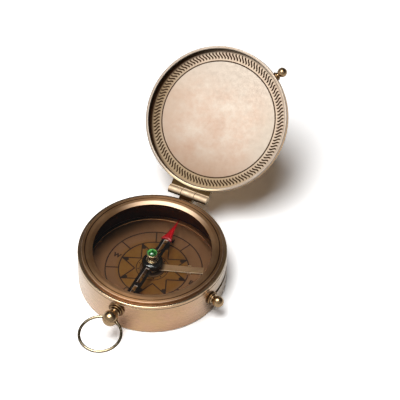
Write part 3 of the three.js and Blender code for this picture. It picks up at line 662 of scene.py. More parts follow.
def brass(
    name,
    tone,
    warm_tone,
    bright,
    dark,
    painted_glance_tone,
    roughness,
    mark_stretch,
    mark_depth,
    stains_and_shading=(),
    grain=0.0,
    aslant=SEEN_ASLANT,
):
    """Turned and rubbed brass: uneven tone, soft tool marks, bright worn edges and painted shade in the
    hollows. Seen aslant it blends to a glancing tone, a painted sheen, which on the ring's wire is painted
    shade. Each patch, of staining and of painted shading alike, is a tone and where it covers the metal.
    The grain of turning runs round Z and spreads the highlights outwards."""
    material, tree, output = new_material(name)
    place = add(tree, "ShaderNodeTexCoord").outputs["Object"]
    inputs = {
        "Vector": place,
        "Scale": per(BLOTCH_SIZE),
        "Detail": BLOTCH_DETAIL,
        "Roughness": BLOTCH_ROUGHNESS,
    }
    blotches = add(tree, "ShaderNodeTexNoise", inputs=inputs).outputs["Fac"]
    wear_and_shade = add(tree, "ShaderNodeAttribute", {"attribute_name": "wear_and_shade"}).outputs["Fac"]
    glance = add(tree, "ShaderNodeLayerWeight", inputs={"Blend": EVEN_BLEND}).outputs["Facing"]
    layers = []
    for layer_tone, value, (start, end), most in (
        (warm_tone, blotches, BLOTCH_SPREAD, 1.0),
        (bright, wear_and_shade, RUBBED_EDGE, EDGE_WEAR),
        (dark, wear_and_shade, SHADED_HOLLOW, HOLLOW_SHADE),
        (painted_glance_tone, glance, aslant, PAINTED_GLANCE),
    ):
        inputs = {"Value": value, "From Min": start, "From Max": end, "To Max": most}
        layers.append((layer_tone, add(tree, "ShaderNodeMapRange", inputs=inputs).outputs["Result"]))
    # Stains and painted shading lie over the blotches and under the worn edges and the painted hollow
    # shade
    layers[1:1] = [(patch_tone, share(tree, place)) for patch_tone, share in stains_and_shading]
    seen = linear(tone)
    for layer_tone, share in layers:
        inputs = {0: share, MIX_A: seen, MIX_B: linear(layer_tone)}
        seen = add(tree, "ShaderNodeMix", {"data_type": "RGBA"}, inputs).outputs[MIX_RESULT]
    stretched = add(tree, "ShaderNodeMapping", inputs={"Vector": place, "Scale": mark_stretch})
    inputs = {"Vector": stretched.outputs["Vector"], "Scale": per(MARK_SIZE), "Detail": MARK_DETAIL}
    marks = add(tree, "ShaderNodeTexNoise", inputs=inputs).outputs["Fac"]
    inputs = {
        "Value": marks,
        "From Min": MARK_SPREAD[0],
        "From Max": MARK_SPREAD[1],
        "To Min": roughness - GLOSS_BELOW,
        "To Max": roughness + GLOSS_ABOVE,
    }
    gloss = add(tree, "ShaderNodeMapRange", inputs=inputs)
    inputs = {"Height": marks, "Distance": mark_depth * MM, "Strength": MARK_STRENGTH}
    bump = add(tree, "ShaderNodeBump", inputs=inputs)
    inputs = {
        "Base Color": seen,
        "Metallic": 1.0,
        "Roughness": gloss.outputs["Result"],
        "Normal": bump.outputs["Normal"],
    }
    if grain:
        turning = add(tree, "ShaderNodeTangent", {"direction_type": "RADIAL", "axis": "Z"})
        inputs["Anisotropic"] = grain
        inputs["Anisotropic Rotation"] = GRAIN_TURN
        inputs["Tangent"] = turning.outputs["Tangent"]
    shader = add(tree, "ShaderNodeBsdfPrincipled", inputs=inputs)
    tree.links.new(shader.outputs["BSDF"], output.inputs["Surface"])
    return material


def clouded(name, tone, other_tone, size, finish, detail=CLOUD_DETAIL, peel=0.0):
    """A finish whose tone wanders between two, with orange peel of a depth in millimetres."""
    material, tree, output = new_material(name)
    place = add(tree, "ShaderNodeTexCoord").outputs["Object"]
    inputs = {"Vector": place, "Scale": per(size), "Detail": detail}
    cloud = add(tree, "ShaderNodeTexNoise", inputs=inputs).outputs["Fac"]
    inputs = {0: cloud, MIX_A: linear(tone), MIX_B: linear(other_tone)}
    seen = add(tree, "ShaderNodeMix", {"data_type": "RGBA"}, inputs)
    inputs = {"Base Color": seen.outputs[MIX_RESULT], **finish}
    if peel:
        height = {"Height": cloud, "Distance": peel * MM, "Strength": PEEL_STRENGTH}
        inputs["Normal"] = add(tree, "ShaderNodeBump", inputs=height).outputs["Normal"]
    shader = add(tree, "ShaderNodeBsdfPrincipled", inputs=inputs)
    tree.links.new(shader.outputs["BSDF"], output.inputs["Surface"])
    return material


def lacquer(name, tone, flecks, roughness, coat):
    """Stove lacquer: an even deep colour under a hard clear gloss, with slight orange peel."""
    finish = {
        "Roughness": roughness,
        "IOR": LACQUER_IOR,
        "Coat Weight": coat,
        "Coat Roughness": COAT_ROUGHNESS,
    }
    return clouded(name, tone, flecks, PEEL_SIZE, finish, PEEL_DETAIL, PEEL_DEPTH)


def blackened_engraving(name, tone, rubbed_tone):
    """Graved lines filled with dark wax: nearly black, dull, and browner where rubbed."""
    finish = {"Roughness": WAX_ROUGHNESS, "Specular IOR Level": WAX_SHINE}
    return clouded(name, tone, rubbed_tone, WAX_SIZE, finish)


def plain_finish(name, tone, other_tone, size, metallic, roughness):
    """A plain finish with a slightly uneven tone, for small faces and pieces that hardly show."""
    return clouded(name, tone, other_tone, size, {"Metallic": metallic, "Roughness": roughness})


def window_glass():
    """Flat clear glass: colourless, with a thin mirror of the room. Lamp light passes through it."""
    material, tree, output = new_material("window_glass")
    inputs = {
        "Base Color": linear("#f8fbf9"),
        "Roughness": 0.0,
        "IOR": GLASS_IOR,
        "Transmission Weight": 1.0,
    }
    pane = add(tree, "ShaderNodeBsdfPrincipled", inputs=inputs).outputs["BSDF"]
    clear = add(tree, "ShaderNodeBsdfTransparent").outputs["BSDF"]
    in_shadow = add(tree, "ShaderNodeLightPath").outputs["Is Shadow Ray"]
    mix = add(tree, "ShaderNodeMixShader", inputs={0: in_shadow, 1: pane, 2: clear})
    tree.links.new(mix.outputs["Shader"], output.inputs["Surface"])
    return material


def green_glass():
    """Green paste, polished to a cabochon: dark in the middle, with painted light making it bright green
    round the edge, and a sharp highlight."""
    material, tree, output = new_material("green_cabochon_glass")
    place = add(tree, "ShaderNodeTexCoord").outputs["Object"]
    inputs = {"Vector": place, "Scale": per(SWIRL_SIZE), "Detail": SWIRL_DETAIL}
    swirl = add(tree, "ShaderNodeTexNoise", inputs=inputs).outputs["Fac"]
    glance = add(tree, "ShaderNodeLayerWeight", inputs={"Blend": EVEN_BLEND}).outputs["Facing"]
    inputs = {0: swirl, 1: SWIRL_SHARE, 2: glance}
    depth = add(tree, "ShaderNodeMath", {"operation": "MULTIPLY_ADD"}, inputs).outputs["Value"]
    inputs = {"Value": depth, "From Min": JEWEL_EDGE[0], "From Max": JEWEL_EDGE[1]}
    edge = add(tree, "ShaderNodeMapRange", inputs=inputs).outputs["Result"]
    inputs = {0: edge, MIX_A: linear("#04420e"), MIX_B: linear("#7ee676")}
    seen = add(tree, "ShaderNodeMix", {"data_type": "RGBA"}, inputs)
    inputs = {
        "Base Color": seen.outputs[MIX_RESULT],
        "Roughness": JEWEL_ROUGHNESS,
        "IOR": JEWEL_IOR,
        "Transmission Weight": JEWEL_CLEARNESS,
    }
    shader = add(tree, "ShaderNodeBsdfPrincipled", inputs=inputs)
    tree.links.new(shader.outputs["BSDF"], output.inputs["Surface"])
    return material


# The case is warm tan, bright and softly brushed round, with painted shade at its right
case_brass = brass(
    "turned_aged_brass", "#c9a57c", "#cca385", "#e6cfab", "#2c1a0c", "#ebe0d2", 0.26, ROUND_MARKS, 0.003,
    [("#a07f58", along((0.98, 0.17, 0), 33, 37))],
)
# Inside, the wall over the dial is nearly black
bore_brass = brass(
    "near_black_bore_brass", "#2e1206", "#3c1a0a", "#4a2c16", "#0a0402", "#2e1206", 0.5, ROUND_MARKS, 0.01
)
# The bezel is a satin brown, with highlights drawn out across it
bezel_brass = brass(
    "pressed_brown_brass", "#b38b66", "#a17650", "#e8cdb4", "#2c1a0c", "#c09a74", 0.42, ROUND_MARKS, 0.004,
    grain=0.5,
)
# Its inner cone is the same, with a painted highlight on the hinge's side
bezel_slope_brass = brass(
    "bezel_brass_painted_highlight", "#b38b66", "#a17650", "#e8cdb4", "#2c1a0c", "#c09a74", 0.42, ROUND_MARKS, 0.004,
    [("#c8ab8e", along((-0.2, 0.98, 0), 18, 30))],
    grain=0.5,
)
# The ring round the dial is brown, with painted shade darkening it at the left
hold_ring_brass = brass(
    "dial_ring_brass_painted_shade", "#7d5232", "#6e4526", "#8f6440", "#2c1a0c", "#7d5232", 0.4, ROUND_MARKS, 0.004,
    [("#1c0d05", along((-1, 0, 0), 0, 22))],
)
# The lid's face is pale and rosy, with painted shade towards the hinge and the left, and a little towards
# the right and the far edge
lid_rise = tuple(lid_open.to_3x3() @ Vector((0, -1, 0)))
lid_fall = tuple(-v for v in lid_rise)
lid_brass = brass(
    "lid_brass_painted_shade", "#b3a698", "#a88f7d", "#b6aea4", "#1c0f06", "#b6aea4", 0.42, EVEN_MARKS, 0.002,
    [
        ("#9f8b79", along((-1, 0, 0), 10, 36)),
        ("#a3978a", along(lid_rise, 88, 114)),
        ("#a69a8c", along((1, 0, 0), 14, 30)),
        ("#8f7560", along(lid_fall, -80, -48)),
    ],
)
# The border round it is browner, with painted shade at its left and towards the hinge, and a painted
# shadow of the lid's wall along its edge
unshaded = lid_open @ (Vector((*LID_SHADE_SHIFT, lid_inner_face)) * MM) / MM
lid_border_brass = brass(
    "browned_lid_brass", "#a69784", "#a08c7a", "#b6aea4", "#1c0f06", "#aca092", 0.42, EVEN_MARKS, 0.004,
    [
        ("#7f6a50", along((-1, 0, 0), 16, 36)),
        ("#8f7a5e", along(lid_fall, -80, -48)),
        ("#1e1007", far_from(unshaded, *LID_SHADE)),
    ],
)
# The lid's rim is a cool grey tan, with a painted yellow gleam at the hinge
lid_rim_brass = brass(
    "rim_brass_painted_gleam", "#9c8f82", "#948270", "#b6aea4", "#1c0f06", "#b6aea4", 0.42, EVEN_MARKS, 0.004,
    [("#e0c8a0", along(lid_fall, -54, -49))],
)
# Outside, the lid is smooth and golden
lid_outside_brass = brass(
    "polished_lid_brass", "#d2ae84", "#cda77c", "#e6cfab", "#2c1a0c", "#d8b890", 0.36, FINE_MARKS, 0.0004
)
# The lid's inner wall is grey tan, and nearly black in the shade at the left
lid_wall_brass = brass(
    "shaded_lid_brass", "#a4927c", "#98846e", "#b8aea2", "#1c0f06", "#a4927c", 0.42, EVEN_MARKS, 0.004,
    [("#2e1c10", along((-1, 0, 0), 6, 28))],
)
# Knobs are polished, with sharp highlights
knob_brass = brass(
    "polished_knob_brass", "#b89a76", "#a68a66", "#e3cfa9", "#2c1a0c", "#d8c6a8", 0.22, EVEN_MARKS, 0.004
)
# The turned feet of the knobs are dark brown
foot_brass = brass(
    "dark_foot_brass", "#7c5c3e", "#6a4a2e", "#c9a878", "#20110a", "#4a3018", 0.3, EVEN_MARKS, 0.004
)
# The wire of the ring is a pale brass, with painted shade along its sides
ring_brass = brass(
    "pale_wire_brass_shaded_sides", "#d4c4a4", "#c4b08c", "#e3d6bf", "#2c1a0c", "#3e2c14", 0.24, EVEN_MARKS, 0.004,
    aslant=WIRE_ASLANT,
)
# The hinge is pale and dull, with painted shade below its barrel and along the lid's leaf
barrel_place = hinge_place / MM
barrel_depth = barrel_place @ Vector(UNDER_BARREL)
hinge_brass = brass(
    "rubbed_hinge_brass", "#d9c3a6", "#ccb396", "#e6d6b8", "#3a2412", "#dccbac", 0.6, EVEN_MARKS, 0.006,
    [
        ("#3a2412", along(UNDER_BARREL, *[barrel_depth + reach for reach in BARREL_SHADE])),
        ("#4a3820", along((0, 1, 0), *[barrel_place.y + reach for reach in LEAF_SHADE])),
    ],
)
# The dial is ochre inside the rose, rosy brown outside it, with a painted shadow of the wall at the left
dial_brass = brass(
    "dial_brass_painted_shadow", "#80582c", "#704822", "#a98560", "#2c1a0c", "#80582c", 0.46, EVEN_MARKS, 0.02,
    [("#7c573c", off_axis(16, 20)), ("#33200f", along((-0.87, 0.5, 0), 20, 34))],
)
# The lever is a plain pale strip, with a painted highlight along its front edge
strip_brass = brass(
    "rolled_strip_brass", "#b8916b", "#a88260", "#e0c49c", "#4a3018", "#c8a680", 0.36, EVEN_MARKS, 0.01
)
edge_brass = plain_finish("lever_edge_painted_highlight", "#fff0da", "#f6dfc4", 1.5, 1.0, 0.85)
# The stud under the needle is a dull dark brown
boss_brass = brass(
    "dulled_boss_brass", "#5f4838", "#4e3a2c", "#8a6c50", "#20110a", "#6a5040", 0.4, ROUND_MARKS, 0.004
)
# The needle is glossy black and its arrow a glossy deep red, with pale grey metal on the inner walls of
# the slots
black_lacquer = lacquer("black_stove_lacquer", "#060403", "#0e0906", 0.14, 0.2)
red_lacquer = lacquer("red_stove_lacquer", "#72050a", "#8a0910", 0.13, 1.0)
slot_steel = plain_finish("pale_slot_steel", "#f0e6e0", "#d8cec8", 1.5, 1.0, 0.8)
# The dial's lines are black, and those of the lid's border a rubbed dark brown
engraving = blackened_engraving("blackened_engraving", "#0e0602", "#241307")
rope_wax = blackened_engraving("rubbed_engraving", "#2a1a0e", "#4a3420")
clear_glass = window_glass()
jewel_glass = green_glass()
# Hardly seen: bright steel, a black seat ring and a brown stone cup
pin_steel = plain_finish("ground_steel", "#b9bcc0", "#9a9da2", 0.8, 1.0, 0.25)
seat_rubber = plain_finish("black_rubber", "#17130f", "#221c17", 1.0, 0.0, 0.8)
cup_agate = plain_finish("brown_agate", "#6d3a22", "#9c6a48", 1.2, 0.0, 0.15)


# Pieces

def add_flat_shading(bench):
    """Large flat faces keep their own shading, and only the rounded edges between them blend."""
    blend = bench.modifiers.new("shading", "WEIGHTED_NORMAL")
    blend.mode = "FACE_AREA"
    blend.keep_sharp = True


def piece(name, mesh, material, body, nodes=(), turn=Matrix()):
    """Makes a mesh in millimetres a piece in metres, riding on a body and standing for CAD nodes."""
    mesh.transform(turn @ Matrix.Scale(MM, 4))
    mesh.materials.clear()
    mesh.materials.append(material)
    mesh.shade_smooth()
    mesh.set_sharp_from_angle(angle=SHARP_ANGLE)
    mesh = finished(mesh, add_flat_shading)
    mesh.name = name
    shown = new_object(name, mesh)
    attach(shown, body)
    if nodes:
        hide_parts(*nodes)
    return shown


def paint(shown, material, turn, chosen):
    """Gives another finish to the faces whose middles, in millimetres after a turn, are chosen."""
    mesh = shown.data
    mesh.materials.append(material)
    for face in mesh.polygons:
        if chosen(turn @ face.center / MM):
            face.material_index = len(mesh.materials) - 1


def within(radius):
    """Chooses what lies nearer to the axis than a radius."""
    return lambda place: place.xy.length < radius


def case_shell():
    bead_bottom = case_height - BEAD_HEIGHT
    groove_bottom = bead_bottom - GROOVE_HEIGHT
    third = GROOVE_HEIGHT / 3
    glass_seat = case_height - GLASS_SEAT_DEPTH
    corners = [
        (0, 0),
        (case_radius - FOOT_CHAMFER, 0, FOOT_ROUND, -1),
        (case_radius, FOOT_CHAMFER, FOOT_ROUND, -1),
        (case_radius, groove_bottom, SMALL_ROUND),
        (case_radius - GROOVE_DEPTH, groove_bottom + third, SMALL_ROUND),
        (case_radius - GROOVE_DEPTH, bead_bottom - third, SMALL_ROUND),
        (case_radius, bead_bottom, SMALL_ROUND),
        (case_radius, case_height, BEAD_ROUND),
        (seat_radius, case_height, SMALL_ROUND),
        (seat_radius, glass_seat),
        (bore_radius, glass_seat, SMALL_ROUND),
        (bore_radius, DIAL_LEDGE),
        (bore_radius - LEDGE_WIDTH, DIAL_LEDGE),
        (bore_radius - LEDGE_WIDTH, CASE_FLOOR),
        (0, CASE_FLOOR),
    ]
    return cut(turned(rounded(corners)), joined([slot_tool(), post_hole()]))


def inside_bore(place):
    return place.xy.length < bore_radius + FIT_GAP and place.z > CASE_FLOOR / 2


def slot_tool():
    """The curved slot of the needle lock, with round ends."""
    lock = joint("lock_slide")
    start = bearing("lock_knob")[0] * DEG
    end = start + lock["range_deg"][1] * DEG
    height = lock["pos_m"][2] / MM
    margin = SLOT_MARGIN / case_radius
    near, far = bore_radius - CUT_MARGIN, case_radius + CUT_MARGIN
    rings = []
    for i in range(SLOT_STEPS + 1):
        # The steps crowd towards the round ends
        share = (1 - math.cos(math.pi * i / SLOT_STEPS)) / 2
        angle = start - margin + (end - start + 2 * margin) * share
        overrun = max(start - angle, angle - end, 0) / margin
        half = max(SLOT_HEIGHT / 2 * math.sqrt(max(1 - overrun * overrun, 0)), WELD)
        corners = ((near, -half), (far, -half), (far, half), (near, half))
        rings.append([(r * math.cos(angle), r * math.sin(angle), height + up) for r, up in corners])
    return lofted(rings)


def post_hole():
    near, far = bore_radius - CUT_MARGIN, case_radius + CUT_MARGIN
    radius = RING_SHANK_RADIUS + FIT_GAP
    rod = turned([(0, near), (radius, near), (radius, far), (0, far)], SMALL_STEPS // 2)
    return placed(rod, outward(ring_azimuth, ring_place.z))


def bezel():
    """A flat crown with a graved line near its outer edge and a cone down to the glass."""
    low, high = node_box("bezel_ring")
    outer = high.x
    inner = outer - BEZEL_WIDTH
    lip_bottom = low.z + BEZEL_SKIRT_HEIGHT
    line = outer - BEZEL_LINE
    corners = [
        (outer - BEZEL_SKIRT, low.z),
        (outer, low.z),
        (outer, high.z - FINE_ROUND, SMALL_ROUND, -1),
        (line + BEZEL_LINE_WIDTH, high.z, 0),
        # painted shade in the graved line
        (line + BEZEL_LINE_WIDTH / 2, high.z - BEZEL_LINE_DEPTH, 0, -1),
        (line - BEZEL_LINE_WIDTH / 2, high.z - BEZEL_LINE_DEPTH, 0, -1),
        (line - BEZEL_LINE_WIDTH, high.z, 0),
        (bezel_crown_end + SMALL_ROUND, high.z, 0),
        (bezel_crown_end - SMALL_ROUND, high.z - SMALL_ROUND / 3, 0),
        (inner, lip_bottom + FINE_ROUND, 0),
        (inner, lip_bottom),
        (outer - BEZEL_SKIRT, lip_bottom),
    ]
    return turned(rounded(corners, closed=True))


def crystal():
    low, high = node_box("crystal")
    corners = [(0, low.z), (high.x, low.z, SMALL_ROUND), (high.x, high.z, SMALL_ROUND), (0, high.z)]
    return turned(rounded(corners))


def dial_hold_ring():
    low, high = node_box("dial_ring")
    return plain_ring(high.x - DIAL_RING_WIDTH, high.x, low.z, high.z, DIAL_RING_ROUND)


def pivot():
    low, high = node_box("pivot_post")
    flange_bottom = dial_top + SEAT_GAP
    flange_top = flange_bottom + PIVOT_FLANGE_HEIGHT
    corners = [
        (0, low.z),
        (PIVOT_SHANK_RADIUS, low.z),
        (PIVOT_SHANK_RADIUS, flange_bottom),
        (high.x, flange_bottom),
        (high.x, flange_top, SMALL_ROUND),
        (PIVOT_RADIUS, flange_top, SMALL_ROUND),
        (PIVOT_RADIUS, high.z, SMALL_ROUND),
        (POINT_BORE_RADIUS, high.z),
        (POINT_BORE_RADIUS, high.z - POINT_BORE_DEPTH),
        (0, high.z - POINT_BORE_DEPTH),
    ]
    return turned(rounded(corners), SMALL_STEPS)


def ball_post(wall, shank_and_end, gap, flange, ball, reach, bead=0):
    """A turned post along +Z: shank, flange, collar, bead if any, and ball."""
    shank, shank_end = shank_and_end
    collar = flange * COLLAR_SHARE
    neck = ball * NECK_SHARE
    flange_top = wall + gap + FLANGE_THICKNESS
    collar_top = flange_top + COLLAR_LENGTH
    corners = [
        (0, shank_end),
        (shank, shank_end),
        (shank, wall + gap),
        (flange, wall + gap, KNOB_ROUND),
        (flange, flange_top, KNOB_ROUND),
        (collar, flange_top, SMALL_ROUND),
        (collar, collar_top, KNOB_ROUND),
        (neck, collar_top, SMALL_ROUND),
    ]
    start = -math.acos(NECK_SHARE)
    if bead:
        span = wall + reach + ball * math.sin(start) - collar_top
        bead_bottom, bead_top = collar_top + span * BEAD_FROM, collar_top + span * BEAD_TO
        corners.append((neck, bead_bottom, FINE_ROUND))
        corners.append((bead, bead_bottom, KNOB_ROUND))
        corners.append((bead, bead_top, KNOB_ROUND))
        corners.append((neck, bead_top, FINE_ROUND))
    ball_steps = SMALL_STEPS // 2
    for i in range(ball_steps):
        angle = start + (math.pi / 2 - start) * i / ball_steps
        corners.append((ball * math.cos(angle), wall + reach + ball * math.sin(angle)))
    corners.append((0, wall + reach + ball))
    return turned(rounded(corners), SMALL_STEPS)


def lock_knob():
    shank = (LOCK_SHANK_RADIUS, LOCK_SHANK_END)
    post = ball_post(case_radius, shank, RUN_GAP, LOCK_FLANGE_RADIUS, LOCK_BALL_RADIUS, LOCK_BALL_REACH)
    return placed(post, outward(*bearing("lock_knob")))


def ring_post():
    reach = ring_place.xy.length - case_radius
    shank = (RING_SHANK_RADIUS, RING_SHANK_END)
    ball = (RING_BALL_RADIUS, reach)
    post = ball_post(case_radius, shank, LEAF_GAP, RING_FLANGE_RADIUS, *ball, RING_BEAD_RADIUS)
    eye = []
    half = RING_BALL_RADIUS + CUT_MARGIN
    for i in range(4 * ARC_STEPS + 1):
        run = half * (i / (2 * ARC_STEPS) - 1)
        bow = RING_RADIUS - math.sqrt(RING_RADIUS**2 - run**2)
        eye.append((EYE_RADIUS + bow, run, 0))
    tool = turned([(0, -half, 0), *eye, (0, half, 0)], SMALL_STEPS // 2)
    across = Matrix.Rotation(math.pi / 2, 4, "X")
    placed(tool, Matrix.Translation((0, 0, case_radius + reach)) @ across)
    return placed(cut(post, tool), outward(ring_azimuth, ring_place.z))


def lid_knob():
    shank = (LID_SHANK_RADIUS, lid_radius - LID_SHANK_DEPTH)
    post = ball_post(lid_radius, shank, LEAF_GAP, LID_FLANGE_RADIUS, LID_BALL_RADIUS, LID_BALL_REACH)
    return placed(post, outward(*bearing("lid_knob", lid_shut)))


def lid_shell():
    inner = lid_radius - LID_WALL
    corners = [
        (0, lid_inner_face),
        (LID_LINE_RADIUS, lid_inner_face, 0),
        (inner, lid_inner_face, LID_CORNER_ROUND),
        # painted shade on the inner wall, fading out towards the rubbed rim
        (inner, lid_low.z + LID_WALL_SHADE_HEIGHT, 0, -1),
        (inner, lid_low.z, RIM_ROUND),
        (lid_radius, lid_low.z, RIM_ROUND),
        (lid_radius, lid_high.z, LID_ROUND),
        (0, lid_high.z),
    ]
    return turned(rounded(corners))


def on_lid_wall(place):
    wall = lid_radius - LID_WALL
    on_wall = wall - LID_CORNER_ROUND < place.xy.length < wall + RIM_ROUND / 2
    return on_wall and lid_low.z < place.z < lid_inner_face


def on_lid_border(place):
    flat = abs(place.z - lid_inner_face) < FINE_ROUND
    return flat and LID_LINE_RADIUS < place.xy.length < lid_radius - LID_WALL


def on_lid_outside(place):
    on_wall = place.xy.length > lid_radius - RIM_ROUND / 2
    return place.z > lid_inner_face + FINE_ROUND or (on_wall and place.z > lid_low.z + RIM_ROUND)


def on_lid_rim(place):
    return place.xy.length > lid_radius - LID_WALL and place.z < lid_low.z + RIM_ROUND


def rope_stroke():
    """One slanted stroke of the rope border, bent like an S, at azimuth 0."""
    outline = []
    back = []
    middle = (ROPE_INNER + ROPE_OUTER) / 2
    half = (ROPE_OUTER - ROPE_INNER) / 2
    for i in range(ROPE_STEPS + 1):
        share = 2 * i / ROPE_STEPS - 1
        radius = middle + half * share
        lean = ROPE_LEAN / 2 * share + ROPE_BEND * math.sin(share * math.pi)
        width = ROPE_WIDTH / 2 * (1 - ROPE_TAPER * share * share)
        outline.append((radius, lean - width))
        back.append((radius, lean + width))
    return slab([*outline, *reversed(back)], lid_inner_face - LINE_RISE, lid_inner_face + LINE_SINK)


def lid_engraving():
    low = lid_inner_face - LINE_RISE
    high = lid_inner_face + LINE_SINK
    line = plain_ring(LID_LINE_RADIUS - LINE_WIDTH / 2, LID_LINE_RADIUS + LINE_WIDTH / 2, low, high)
    rope = grown(rope_stroke(), copies, Count=ROPE_STROKES, Material=rope_wax)
    return placed(joined([line, rope]), Matrix.Translation(BORDER_SHIFT))


def star_point():
    """Both edges of a point of the rose, drawn as bars, and its dark tip, pointing along +X."""
    tip = Vector((STAR_RADIUS, 0))
    low, high = dial_top - LINE_SINK, dial_top + LINE_RISE
    shapes = []
    for side in (-1, 1):
        angle = side * math.pi / STAR_POINTS
        waist = Vector((STAR_WAIST * math.cos(angle), STAR_WAIST * math.sin(angle)))
        edge = (tip - waist).normalized()
        across = Vector((-edge.y, edge.x)) * LINE_WIDTH / 2
        bar = [waist - across, tip - across, tip + across, waist + across]
        shapes.append(slab([tuple(p) for p in bar], low, high))
    waist_half = STAR_WAIST * math.sin(math.pi / STAR_POINTS)
    waist_reach = STAR_WAIST * math.cos(math.pi / STAR_POINTS)
    half = waist_half * TIP_FILL / (STAR_RADIUS - waist_reach)
    fill_end = STAR_RADIUS - TIP_FILL
    fill = [(STAR_RADIUS, 0), (fill_end, half), (fill_end - TIP_FILL / 4, 0), (fill_end, -half)]
    shapes.append(slab(fill, low, high))
    return joined(shapes)


def dial_engraving():
    """The rose, graved a little off the pivot, and the circles with dots about the pivot."""
    low, high = dial_top - LINE_SINK, dial_top + LINE_RISE
    rose = []
    for radius in (OUTER_CIRCLE, INNER_CIRCLE):
        rose.append(plain_ring(radius - LINE_WIDTH / 2, radius + LINE_WIDTH / 2, low, high))
    spoke = [(INNER_CIRCLE, -LINE_WIDTH / 2), (OUTER_CIRCLE, -LINE_WIDTH / 2)]
    spoke += [(x, -y) for x, y in reversed(spoke)]
    half_step = Matrix.Rotation(math.pi / STAR_POINTS, 4, "Z")
    bar = placed(slab(spoke, low, high), half_step)
    rose.append(grown(bar, copies, Count=STAR_POINTS, Material=engraving))
    rose.append(grown(star_point(), copies, Count=STAR_POINTS, Material=engraving))
    for letter, azimuth in (("E", 0), ("N", 90), ("W", 180), ("S", 270)):
        at = Matrix.Rotation(azimuth * DEG, 3, "Z") @ Vector((LETTER_RADIUS, 0, 0))
        rose.append(placed(lettering(letter, LETTER_SIZE, low, high), Matrix.Translation(at)))
    shapes = [placed(joined(rose), Matrix.Translation(ROSE_SHIFT))]
    for radius in HUB_CIRCLES:
        shapes.append(plain_ring(radius - FINE_LINE / 2, radius + FINE_LINE / 2, low, high))
    dot_radius = sum(HUB_CIRCLES) / 2
    dot = turned([(0, low), (HUB_DOT_RADIUS, low), (HUB_DOT_RADIUS, high), (0, high)], HUB_DOT_STEPS)
    placed(dot, Matrix.Translation((dot_radius, 0, 0)))
    shapes.append(grown(dot, copies, Count=HUB_DOTS, Material=engraving))
    return joined(shapes)


def lift_lever():
    """The lever, with an edge across it where its outer end, painted in the dial's colour, begins."""
    shape = bmesh.new()
    shape.from_mesh(softened("lock_lever", LEVER_EDGE))
    faces = shape.verts[:] + shape.edges[:] + shape.faces[:]
    bmesh.ops.bisect_plane(shape, geom=faces, plane_co=lever_line * LEVER_BRIGHT_END, plane_no=lever_line)
    return mesh_from(shape)


def on_lever_edge(place):
    return place @ lever_across < LEVER_EDGE - LEVER_HALF_WIDTH


def on_lever_end(place):
    return place @ lever_line > LEVER_BRIGHT_END


def in_needle_slot(place):
    between_bars = abs(place.x) < NEEDLE_SLOT_HALF_WIDTH + SMALL_ROUND
    return between_bars and place.z < needle_top - NEEDLE_EDGE / 2


def needle_hub():
    low, high = node_box("needle_hub")
    foot_top = low.z + HUB_FOOT_HEIGHT
    shoulder = foot_top + HUB_DISC_HEIGHT
    corners = [
        (HUB_BORE, low.z),
        (HUB_FOOT_RADIUS, low.z, FINE_ROUND),
        (HUB_FOOT_RADIUS, foot_top),
        (high.x, foot_top, RIM_ROUND),
        (high.x, shoulder, RIM_ROUND),
        (HUB_NECK_RADIUS, shoulder),
        (HUB_NECK_RADIUS, high.z),
        (HUB_BORE, high.z),
    ]
    return turned(rounded(corners, closed=True), SMALL_STEPS)


def arrow_head():
    """The arrow as a half-round leaf with a rounded base, pointing along +Y."""
    low, high = node_box("north_arrow", needle_turn.inverted())
    length = high.y - low.y
    waist = low.y + length / 3
    edge_top = low.z + ARROW_EDGE
    rise = high.z - edge_top
    shape = bmesh.new()
    rows = []
    for i in range(ARROW_STEPS + 1):
        # The steps crowd towards the base
        t = (i / ARROW_STEPS) ** ARROW_CROWDING
        half = high.x * ((1 - t) ** 2 + 2 * t * (1 - t) / 3)
        y = low.y * (1 - t) ** 2 + waist * 2 * t * (1 - t) + high.y * t * t
        swell = min((y - low.y) / ARROW_BASE_ROUND, 1)
        ridge = rise * (1 - (y - low.y) / length) * math.sqrt(1 - (1 - swell) ** 2)
        notch = ARROW_NOTCH * max(1 - (y - low.y) / (4 * ARROW_NOTCH), 0)
        row = []
        for k in range(ARROW_CROSS_STEPS + 1):
            angle = math.pi * k / ARROW_CROSS_STEPS
            x = half * math.cos(angle)
            back = y + notch * (1 - abs(math.cos(angle)))
            top = shape.verts.new((x, back, edge_top + ridge * math.sin(angle)))
            row.append((shape.verts.new((x, back, low.z)), top))
        rows.append(row)
    for near, far in zip(rows, rows[1:]):
        for k in range(ARROW_CROSS_STEPS):
            for side in (0, 1):
                shape.faces.new((near[k][side], near[k + 1][side], far[k + 1][side], far[k][side]))
        for k in (0, ARROW_CROSS_STEPS):
            shape.faces.new((near[k][0], near[k][1], far[k][1], far[k][0]))
    for k in range(ARROW_CROSS_STEPS):
        shape.faces.new((rows[0][k][0], rows[0][k][1], rows[0][k + 1][1], rows[0][k + 1][0]))
    bmesh.ops.remove_doubles(shape, verts=shape.verts, dist=WELD)
    bmesh.ops.recalc_face_normals(shape, faces=shape.faces)
    return mesh_from(shape)


def quarter_arc(radius, bottom, span, rise):
    """Profile points from the outside of a dome up to its top, which is at a radius."""
    steps = 4 * ARC_STEPS
    angles = [math.pi / 2 * i / steps for i in range(steps + 1)]
    return [(radius + span * math.cos(a), bottom + rise * math.sin(a)) for a in angles]


def hub_dome():
    low, high = node_box("hub_dome")
    inner = HUB_NECK_RADIUS + FIT_GAP
    rise = high.z - low.z
    roof = low.z + rise / 2 + SEAT_GAP
    dome = quarter_arc(CAP_FOOT_RADIUS, low.z, high.x - CAP_FOOT_RADIUS, rise)
    hollow = [(HUB_BORE, high.z), (HUB_BORE, roof), (inner, roof), (inner, low.z)]
    return turned([(inner, low.z), *dome, *hollow], SMALL_STEPS)


